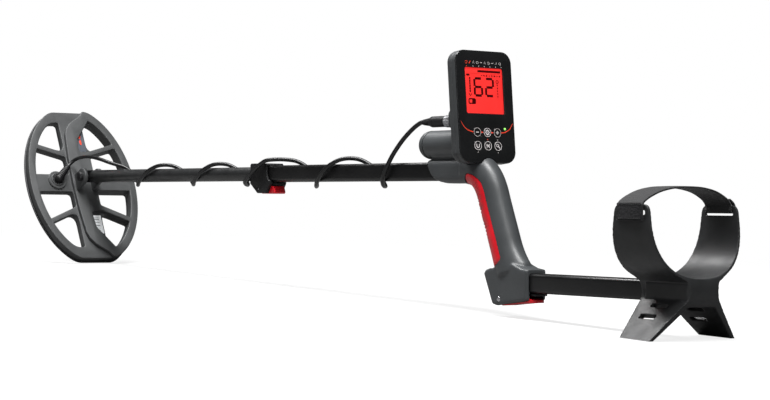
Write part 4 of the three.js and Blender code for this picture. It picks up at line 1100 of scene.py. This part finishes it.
def build_pod():
    key_holes = [circle(6.0, y, z, 36) for y, z in KEYS.values()]
    window = rounded_rect(SCREEN["width"], SCREEN["height"], 2, 0, SCREEN["z"], 6)
    face = plate(pod_outline(0.2), [window, *key_holes, circle(1.6, 27.1, -25.4, 16)], -2.2, 0, 0.7, 4)
    piece("pod_face_plate", on_face(face), "face", ROOT, ["pod_front_cover"], 30)
    rim_profile = [(-8, 0.3), (-7.6, 0), (-1.6, 0), (-1.2, 0.5), (-1.2, 2.4), (-8, 2.4), (-8, 0.3)]
    rim = loft([(x, pod_outline(i)) for x, i in rim_profile], False, False)
    piece("pod_rim", moved(rim, POD), "rim", ROOT, [], 30)
    back = [(-8.3, 0.5), (-8.7, 0), (-13, 0), (-15.5, 0.6), (-17.6, 1.9), (-19.2, 3.9), (-20, 6.2)]
    block = loft([(x, pod_outline(i)) for x, i in back])
    hump = loft([(x, rounded_rect(40 - 2 * i, 22.6 - 2 * i, 6 - i * 0.8, 0, 61.3, 8))
                 for x, i in ((926, 2.2), (926.4, 1.1), (927.3, 0.3), (928.6, 0), (956, 0))])
    shell = joined("back", moved(block, POD), moved(hump, SHAFT))
    piece("pod_back_moulding", shell, "rim", ROOT, ["pod_back_shell"], 30)
    refined("pod_bracket", "black", 0.8, 3)
    for name, (y, z) in KEYS.items():
        key = lathe([(-3.2, 0), (-3.2, 5.6), (0.1, 5.7), (0.38, 5.5), (0.5, 5.0), (0.42, 0)], (0, y, z),
                    (1, 0, 0), 40)
        piece(f"key_{name}_cap", moved(key, POD), "face", f"key_{name}", [f"key_{name}"], 30)
        marks = joined(name, stroke(circle(5.0, y, z, 40), 0.55, True), *key_marks(name, y, z))
        moved(marks, Matrix.Translation((0, 0, 0.44)))
        colour = "ink_grey" if name in ("minus", "plus") else "ink_white"
        piece(f"key_{name}_print", on_face(marks), colour, f"key_{name}", angle=30)
    light = lathe([(-3.6, 0), (-3.6, 1.4), (-0.4, 1.4), (0.1, 1.0), (0.25, 0)], (0, 27.1, -25.4),
                  (1, 0, 0), 20)
    piece("status_light", moved(light, POD), "green", ROOT, ["status_led"])
    build_screen()
    build_face_print()


def key_marks(name, y, z):
    """The generic sign on each key."""
    if name == "minus":
        return [blot(rounded_rect(4.2, 1.4, 0.3, y, z, 2))]
    if name == "plus":
        return [blot(rounded_rect(4.2, 1.4, 0.3, y, z, 2)), blot(rounded_rect(1.4, 4.2, 0.3, y, z, 2))]
    if name == "mode":
        centre = Matrix.Translation((y, z, 0))
        teeth = [moved(blot(rounded_rect(0.9, 0.9, 0.1, 3.0, 0, 1)),
                       centre @ Matrix.Rotation(2 * math.pi * i / 8, 4, "Z")) for i in range(8)]
        return [stroke(circle(2.2, y, z, 24), 0.9, True), stroke(circle(0.7, y, z, 12), 0.3, True), *teeth]
    if name == "all_metal":
        arc = [(y + 1.9 * math.cos(t), z - 0.4 + 1.9 * math.sin(t)) for t in
               (math.pi * (1 + i / 14) for i in range(15))]
        return [stroke([(y - 1.9, z + 2.1), *arc, (y + 1.9, z + 2.1)], 1.0)]
    if name == "reject":
        return [stroke([(y - 2.2, z + 2.2), (y + 2.2, z - 2.2)], 0.9),
                stroke([(y + 2.2, z + 2.2), (y - 2.2, z - 2.2)], 0.7),
                stroke([(y - 2.8, z), (y - 1.2, z)], 0.7), stroke([(y + 1.2, z), (y + 2.8, z)], 0.7)]
    return [stroke(circle(1.6, y - 0.7, z + 0.7, 20), 0.7, True),
            stroke([(y + 0.5, z - 0.5), (y + 2.6, z - 2.6)], 1.0)]


def build_face_print():
    """The sweep of red through the top keys, and the row of plain signs above the screen."""
    y_left, y_right = -37.8, 40.0
    sweep = smooth_route([(y_left, -18.4, 0), (-33.5, -24.5, 0), (-27, -28.6, 0), (-19, -30.3, 0)], 8)
    rise = smooth_route([(19, -30.3, 0), (27, -29.2, 0), (34, -25.3, 0), (y_right - 1.2, -18.8, 0)], 8)
    strokes = [stroke([(p.x, p.y) for p in sweep], lambda t: 0.5 + 0.9 * t),
               stroke([(p.x, p.y) for p in rise], lambda t: 1.4 - 0.9 * t),
               stroke([(-8.9, -30.3), (-6.0, -30.3)], 1.3), stroke([(6.0, -30.3), (8.9, -30.3)], 1.3)]
    signs_red = [stroke(circle(1.6, -26, 51.5, 14), 0.5, True), stroke([(-22, 49.9), (-19.6, 53.1)], 0.8),
                 blot(circle(0.6, -26, 47.2, 8)), blot([(-1.0, -38.2), (0, -39.6), (1.0, -38.2)][::-1])]
    piece("face_print_red", on_face(joined("r", *strokes, *signs_red)), "ink_red", ROOT, angle=30)
    signs = []
    for i in range(8):
        y = -15 + 5.6 * i
        if i % 3 == 0:
            signs.append(stroke([(y - 1.2, 50.2), (y, 53.0), (y + 1.2, 50.2)], 0.45))
        elif i % 3 == 1:
            signs.append(stroke(circle(1.4, y, 51.4, 14), 0.45, True))
        else:
            signs.append(stroke([(y - 1.4, 51.6), (y + 1.4, 51.6)], 0.9))
    signs += [blot(rounded_rect(1.1, 1.1, 0.2, -16 + 8.4 * i, 47.3, 1)) for i in range(6)]
    signs += [blot([(13.9, -38.4), (14.9, -39.6), (15.9, -38.4)][::-1]), blot(circle(0.6, -14.9, -53.6, 8)),
              blot(circle(0.6, 14.9, -53.6, 8))]
    piece("face_print_grey", on_face(joined("g", *signs)), "ink_grey", ROOT, angle=30)


SEGMENTS = {"6": "afgedc", "2": "abged"}


def digit(shape, y, z, width, height, thick=2.0):
    """A seven-segment figure whose top left corner is at (y, z)."""
    w, h, t = width, height / 2, thick
    bars = {"a": ((t * 0.3, 0), (w - t * 0.3, 0)), "g": ((t * 0.3, -h), (w - t * 0.3, -h)),
            "d": ((t * 0.3, -2 * h), (w - t * 0.3, -2 * h)), "f": ((0, -t * 0.3), (0, -h + t * 0.3)),
            "e": ((0, -h - t * 0.3), (0, -2 * h + t * 0.3)), "b": ((w, -t * 0.3), (w, -h + t * 0.3)),
            "c": ((w, -h - t * 0.3), (w, -2 * h + t * 0.3))}
    return [stroke([(y + bars[s][0][0], z + bars[s][0][1]), (y + bars[s][1][0], z + bars[s][1][1])], thick)
            for s in SEGMENTS[shape]]


def build_screen():
    panel = plate(rounded_rect(61, 59, 1.5, 0, SCREEN["z"], 4), [], -2.6, -2.25, 0.05, 1)
    piece("screen_panel", on_face(panel), "screen", ROOT, angle=30)
    top = SCREEN["z"] + SCREEN["height"] / 2
    marks = digit("6", -13.4, top - 13.4, 10.8, 20, 2.9) + digit("2", 3.4, top - 13.4, 10.8, 20, 2.9)
    marks += [blot(rounded_rect(34, 2.6, 0.2, 9.0, top - 4.8, 1))]
    marks += [stroke([(-25, top - 7.6), (25, top - 7.6)], 0.18)]
    marks += [blot(rounded_rect(5, 2.2, 0.3, -22.6, top - 9.6, 1))]
    marks += [blot(circle(1.3, -2.5 + 3.9 * i, top - 9.8, 3 + i % 3)) for i in range(8)]
    marks += [blot(rounded_rect(2.0, 2.6, 0.1, -20.2, top - 13.6 - 3.0 * i, 1)) for i in range(6)]
    marks += [stroke([(-22.3, top - 31.4), (-20.2, top - 34.4), (-18.1, top - 31.4)], 1.2)]
    marks += [blot([(y0, z0), (y0 + 1.3, z0 + 1.9), (y0 - 1.3, z0 + 1.9)]) for y0, z0 in
              ((20.6, top - 21.6 - 3.4 * i) for i in range(5))]
    marks += [stroke(circle(1.8, 20.6, top - 16.4, 12), 0.9, True)]
    marks += [stroke(rounded_rect(9.6, 5.4, 1.0, -18.0, top - 40.4, 2), 1.5, True),
              blot(rounded_rect(4.4, 4.6, 0.3, -15.8, top - 40.4, 1))]
    segments = joined("s", *marks)
    moved(segments, Matrix.Translation((0, 0.8, -2.24)))
    piece("screen_figures", on_face(segments), "segment", ROOT, angle=30)
    glass = plate(rounded_rect(55.4, 53.4, 1.7, 0, SCREEN["z"], 6), [], -1.7, -0.1, 0.25, 2)
    piece("screen_window", on_face(glass), "window", ROOT, ["display_window"], 30)


def build_socket():
    z = 60
    socket = lathe([(0, 0), (0, 6.2), (8, 6.2), (8, 7.6), (8.6, 8.4), (11.5, 8.4), (12.2, 7.9), (13.4, 7.9),
                    (14.1, 8.4), (20.4, 8.4), (21.2, 7.8), (21.7, 6.2), (41, 6.2), (41, 0)], (904, 0, z),
                   (1, 0, 0), 48)
    piece("socket_body", moved(socket, SHAFT), "black", ROOT, ["coil_socket"], 30)
    plug = lathe([(0, 0), (0, 5.4), (0.9, 6.3), (2.4, 6.7), (7, 6.7), (7.4, 6.3), (8.2, 6.3), (8.6, 6.7),
                  (29.3, 6.7), (29.9, 6.2), (34.3, 6.1), (34.3, 0)], (869.3, 0, z), (1, 0, 0), 48)
    piece("plug_body", moved(plug, SHAFT), "black", ROOT, ["cable_plug"], 30)
    boot = lathe(ribbed_profile(16, 5.3, 3.4, 6), (869, 0, z), (-1, 0, 0), 32)
    piece("plug_boot_ribbed", moved(boot, SHAFT), "rubber", ROOT, ["plug_boot"])
    knurl = []
    for i in range(72):
        t = 2 * math.pi * i / 72
        knurl.append(((7.45 if i % 2 else 7.05) * math.cos(t), (7.45 if i % 2 else 7.05) * math.sin(t)))
    ring = plate(knurl, [circle(6.7, count=36)], 899.7, 911.6, 0.3, 1)
    piece("lock_ring_knurled", moved(moved(ring, FACE_TURN), SHAFT @ Matrix.Translation((0, 0, z))), "steel",
          "plug_lock_ring", ["plug_lock_ring"], 20)


# ---------- Arm cuff ----------

CUP_Z, CUP_INNER, CUP_OUTER, CUP_TOP, FOOT_Z = -52.5, 61.3, 64.3, -37.8, -177


def cup_curve(radius, start, end, steps):
    points = []
    for i in range(steps + 1):
        t = math.radians(start + (end - start) * i / steps)
        c, s = math.cos(t), math.sin(t)
        points.append((math.copysign(radius * abs(c) ** (2 / 2.4), c), CUP_Z - radius * abs(s) ** (2 / 2.4)))
    return points


def bend(a, b, c, steps=8):
    return quadratic(a, b, c, [i / steps for i in range(steps + 1)])


def cuff_side():
    """The cuff seen from its side, with rounded corners at the top of the wings and curved ends below them.
    """
    top, low = CUP_TOP, FOOT_Z - 5
    user = bend((1311, top), (1318, top), (1319.5, top - 8))
    user += bend((1319.5, top - 8), (1324, -80), (1330, -108))
    user += bend((1330, -108), (1337, -121), (1335, -132))
    user += bend((1335, -132), (1334, -138), (1331, -143))
    coil = bend((1264, -138), (1261, -124), (1260.5, -106))
    coil += bend((1260.5, -106), (1262, -80), (1266.5, top - 8))
    coil += bend((1266.5, top - 8), (1268, top), (1275, top))
    return user + [(1316.5, low), (1273, low)] + coil


def build_cuff():
    half = [(CUP_OUTER, CUP_TOP), *cup_curve(CUP_OUTER, 0, 62, 24), (22.6, -117), (20.8, -121), (20, -126),
            (20.4, -131), (22, -135), (24.5, -138), (65, FOOT_Z - 4), (59.4, FOOT_Z - 4), (22.5, -146.6),
            (20.6, -144.4), (18, -143)]
    section = half + [(-y, z) for y, z in reversed(half)] + [(-CUP_INNER, CUP_TOP)]
    section += cup_curve(CUP_INNER, 180, 0, 72) + [(CUP_INNER, CUP_TOP)]
    body = new_object("cuff", prism(section, 1255, 1345, "x"))
    boolean(body, "INTERSECT", prism(cuff_side(), -90, 90, "y"))
    slope = math.atan2(FOOT_Z + 134, 65 - 24.5)
    for sign in (-1, 1):
        for x, down, width, height in ((1298, 5, 24, 4.2), (1291.5, 20.6, 24, 5.4)):
            hole = prism(rounded_rect(width, height, 1.2, steps=4), -8, 8, "z")
            turn = Matrix.Rotation(sign * (math.pi / 2 + slope), 4, "X")
            place = Matrix.Translation((x, sign * (25 + down * math.cos(slope)),
                                        -138 + down * math.sin(slope)))
            boolean(body, "DIFFERENCE", moved(hole, place @ turn @ Matrix.Rotation(math.pi / 2, 4, "X")))
        slot = prism(rounded_rect(40, 4.6, 1.2, 1293, -46.2, 4), *sorted((55 * sign, 70 * sign)), "y")
        boolean(body, "DIFFERENCE", slot)
    panels = moved(plate(rounded_rect(45, 23.4, 3, 0, -128.5), [], 1270, 1333, 1.5, 3), FACE_TURN)
    rounded = melted("cuff", [body.data, panels], 0.75, 3, [floor_cut(), tube_room()], 0.35)
    bpy.data.objects.remove(body)
    piece("arm_cuff_moulding", moved(rounded, SHAFT), "cuff", "rear_shaft", ["arm_cuff"], 50)
    refined("cuff_screw", "steel", 0.4)


def tube_room():
    return closed(prism([(y, z - 127.5) for y, z in rounded_rect(22.8, 22.8, 4.5)], 1240, 1329.6, "x"))


def floor_cut():
    """Everything under the floor, in shaft millimetres, so that the feet end flat on it."""
    inverse = SHAFT.inverted()
    corners = [(x, y, z) for x in (0.4, 0.9) for y in (-0.1, 0.1) for z in (-0.05, 0.0)]
    verts = [inverse @ Vector(c) for c in corners]
    faces = [(0, 1, 3, 2), (4, 6, 7, 5), (0, 4, 5, 1), (2, 3, 7, 6), (0, 2, 6, 4), (1, 5, 7, 3)]
    mesh = mesh_of("floor_cut", verts, faces, Matrix.Identity(4))
    tidy(mesh, 30)
    return mesh


def build_strap():
    """The strap: a patch outside the left wing, the arch, and a loop round the top bar of the right wing."""
    out, inside, thick = CUP_OUTER + 1.5, CUP_INNER - 1.5, 1.9
    route = [(-out, -55), (-out, -48), (-out, -41), (-out + 1.3, -36.4), (-59, -32.2), (-49, -27.4),
             (-38, -23.6), (-20, -20.3), (0, -19.4), (20, -20.3), (38, -23.8), (49, -28.4), (56, -32.8),
             (inside - 0.2, -37.2),
             (inside, -41.5), (inside + 0.6, -44.6), (inside + 2.2, -45.35), (CUP_OUTER - 1.4, -45.35),
             (out - 0.5, -44.6), (out, -41.5), (out, -38.4), (out - 2.2, -35.2), (61, -33.2), (58, -31.4)]
    line = smooth_route([(0, y, z) for y, z in route], 8)
    across, x0, x1 = 14, 1273.9, 1312.1
    verts = []
    for i, p in enumerate(line):
        tangent = (line[min(i + 1, len(line) - 1)] - line[max(i - 1, 0)]).normalized()
        normal = Vector((1, 0, 0)).cross(tangent)
        crown = 0.3 * max(0.0, min(1.0, (p.z + 36) / 8))
        verts += [Vector((x0 + (x1 - x0) * k / across, p.y, p.z))
                  + normal * crown * math.sin(math.pi * k / across) for k in range(across + 1)]
    width = across + 1
    faces = [(i * width + k, i * width + k + 1, (i + 1) * width + k + 1, (i + 1) * width + k)
             for i in range(len(line) - 1) for k in range(across)]
    obj = new_object("strap", mesh_of("strap", verts, faces, Matrix.Identity(4)))
    solid = obj.modifiers.new("solid", "SOLIDIFY")
    solid.thickness = thick
    solid.offset = 0
    solid.use_even_offset = True
    bevel = obj.modifiers.new("bevel", "BEVEL")
    bevel.width, bevel.segments, bevel.limit_method, bevel.angle_limit = 0.5, 2, "ANGLE", math.radians(60)
    applied(obj)
    obj.data.transform(SHAFT)
    piece("strap_band", obj, "webbing", "rear_shaft", ["arm_strap"], 50)
    lie = SHAFT @ Matrix(((1, 0, 0, 0), (0, 0, 1, 0), (0, 1, 0, 0), (0, 0, 0, 1)))
    patch = moved(plate(rounded_rect(36.5, 17.5, 1.5, 1293, -45), [], -out - 2.0, -out - 0.9, 0.3, 1), lie)
    patch_obj = piece("strap_patch", patch, "patch", "rear_shaft", angle=30)
    stitches = []
    for z in (-52.2, -37.8):
        for i in range(11):
            x = 1277.5 + 3.1 * i
            thread = [Vector((x, -out - 2.1, z)), Vector((x + 2, -out - 2.1, z))]
            stitches.append(mesh_of("t", *tube_mesh(thread, 0.28, 8), Matrix.Identity(4)))
    stitch_obj = piece("strap_stitches", moved(joined("st", *stitches), SHAFT), "webbing", "rear_shaft")


# ---------- Stage and light ----------

def build_stage():
    """A pale floor that turns into the white of the backdrop some way off, and the studio's lights."""
    floor = new_object("floor", mesh_of("floor", [(-60, -60, 0), (60, -60, 0), (60, 60, 0), (-60, 60, 0)],
                                        [(0, 1, 2, 3)], Matrix.Translation((0, 0, -0.0006))))
    n = Nodes("pale_floor")
    seen = n.tree.nodes.new("ShaderNodeLightPath").outputs["Is Camera Ray"]
    pale = n.blend(n.ramp(n.noise(0.6, 3), 0, 1), (0.86, 0.86, 0.86), (0.89, 0.89, 0.89))
    tone = n.blend(seen, (0.18, 0.18, 0.18), pale)
    n.connect(Base_Color=tone, Roughness=0.9, Specular_IOR_Level=0.1)
    glow = n.add("Emission", Color=(1, 1, 1, 1), Strength=1.0)
    away = n.tree.nodes.new("ShaderNodeVectorMath")
    away.operation = "LENGTH"
    n.tree.links.new(n.place, away.inputs[0])
    mix = n.tree.nodes.new("ShaderNodeMixShader")
    share = n.maths("MULTIPLY", n.ramp(away.outputs["Value"], 0.78, 1.0, 0.5, 1.6), seen)
    n.tree.links.new(share, mix.inputs[0])
    n.tree.links.new(n.shader.outputs[0], mix.inputs[1])
    n.tree.links.new(glow.outputs[0], mix.inputs[2])
    n.tree.links.new(mix.outputs[0], n.tree.nodes["Material Output"].inputs[0])
    floor.data.materials.append(n.material)
    bpy.context.scene.view_settings.view_transform = "Standard"
    world = bpy.data.worlds.new("studio")
    bpy.context.scene.world = world
    world.use_nodes = True
    tree = world.node_tree
    background = tree.nodes["Background"]
    strength = tree.nodes.new("ShaderNodeMix")
    strength.inputs[2].default_value = 0.06
    strength.inputs[3].default_value = 1.0
    tree.links.new(tree.nodes.new("ShaderNodeLightPath").outputs["Is Camera Ray"], strength.inputs[0])
    background.inputs[0].default_value = (1, 1, 1, 1)
    tree.links.new(strength.outputs[0], background.inputs[1])
    lamp("top", (0.1, -0.38, 1.9), (0.1, -0.05, 0.1), 3.2, 0.5, 135)
    lamp("key", (2.6, -0.9, 1.2), (0.3, 0, 0.1), 0.9, 0.9, 8)


def lamp(name, place, target, width, height, power):
    light = bpy.data.lights.new(name, "AREA")
    light.shape = "RECTANGLE"
    light.size, light.size_y = width, height
    light.energy = power
    obj = bpy.data.objects.new(name, light)
    COLLECTION.objects.link(obj)
    obj.location = place
    obj.rotation_mode = "QUATERNION"
    obj.rotation_quaternion = (Vector(target) - Vector(place)).to_track_quat("-Z", "Y")


build_cable()
build_coil()
build_shafts()
build_clamps()
build_handle()
build_battery_inside()
build_pod()
build_socket()
build_cuff()
build_strap()
build_stage()
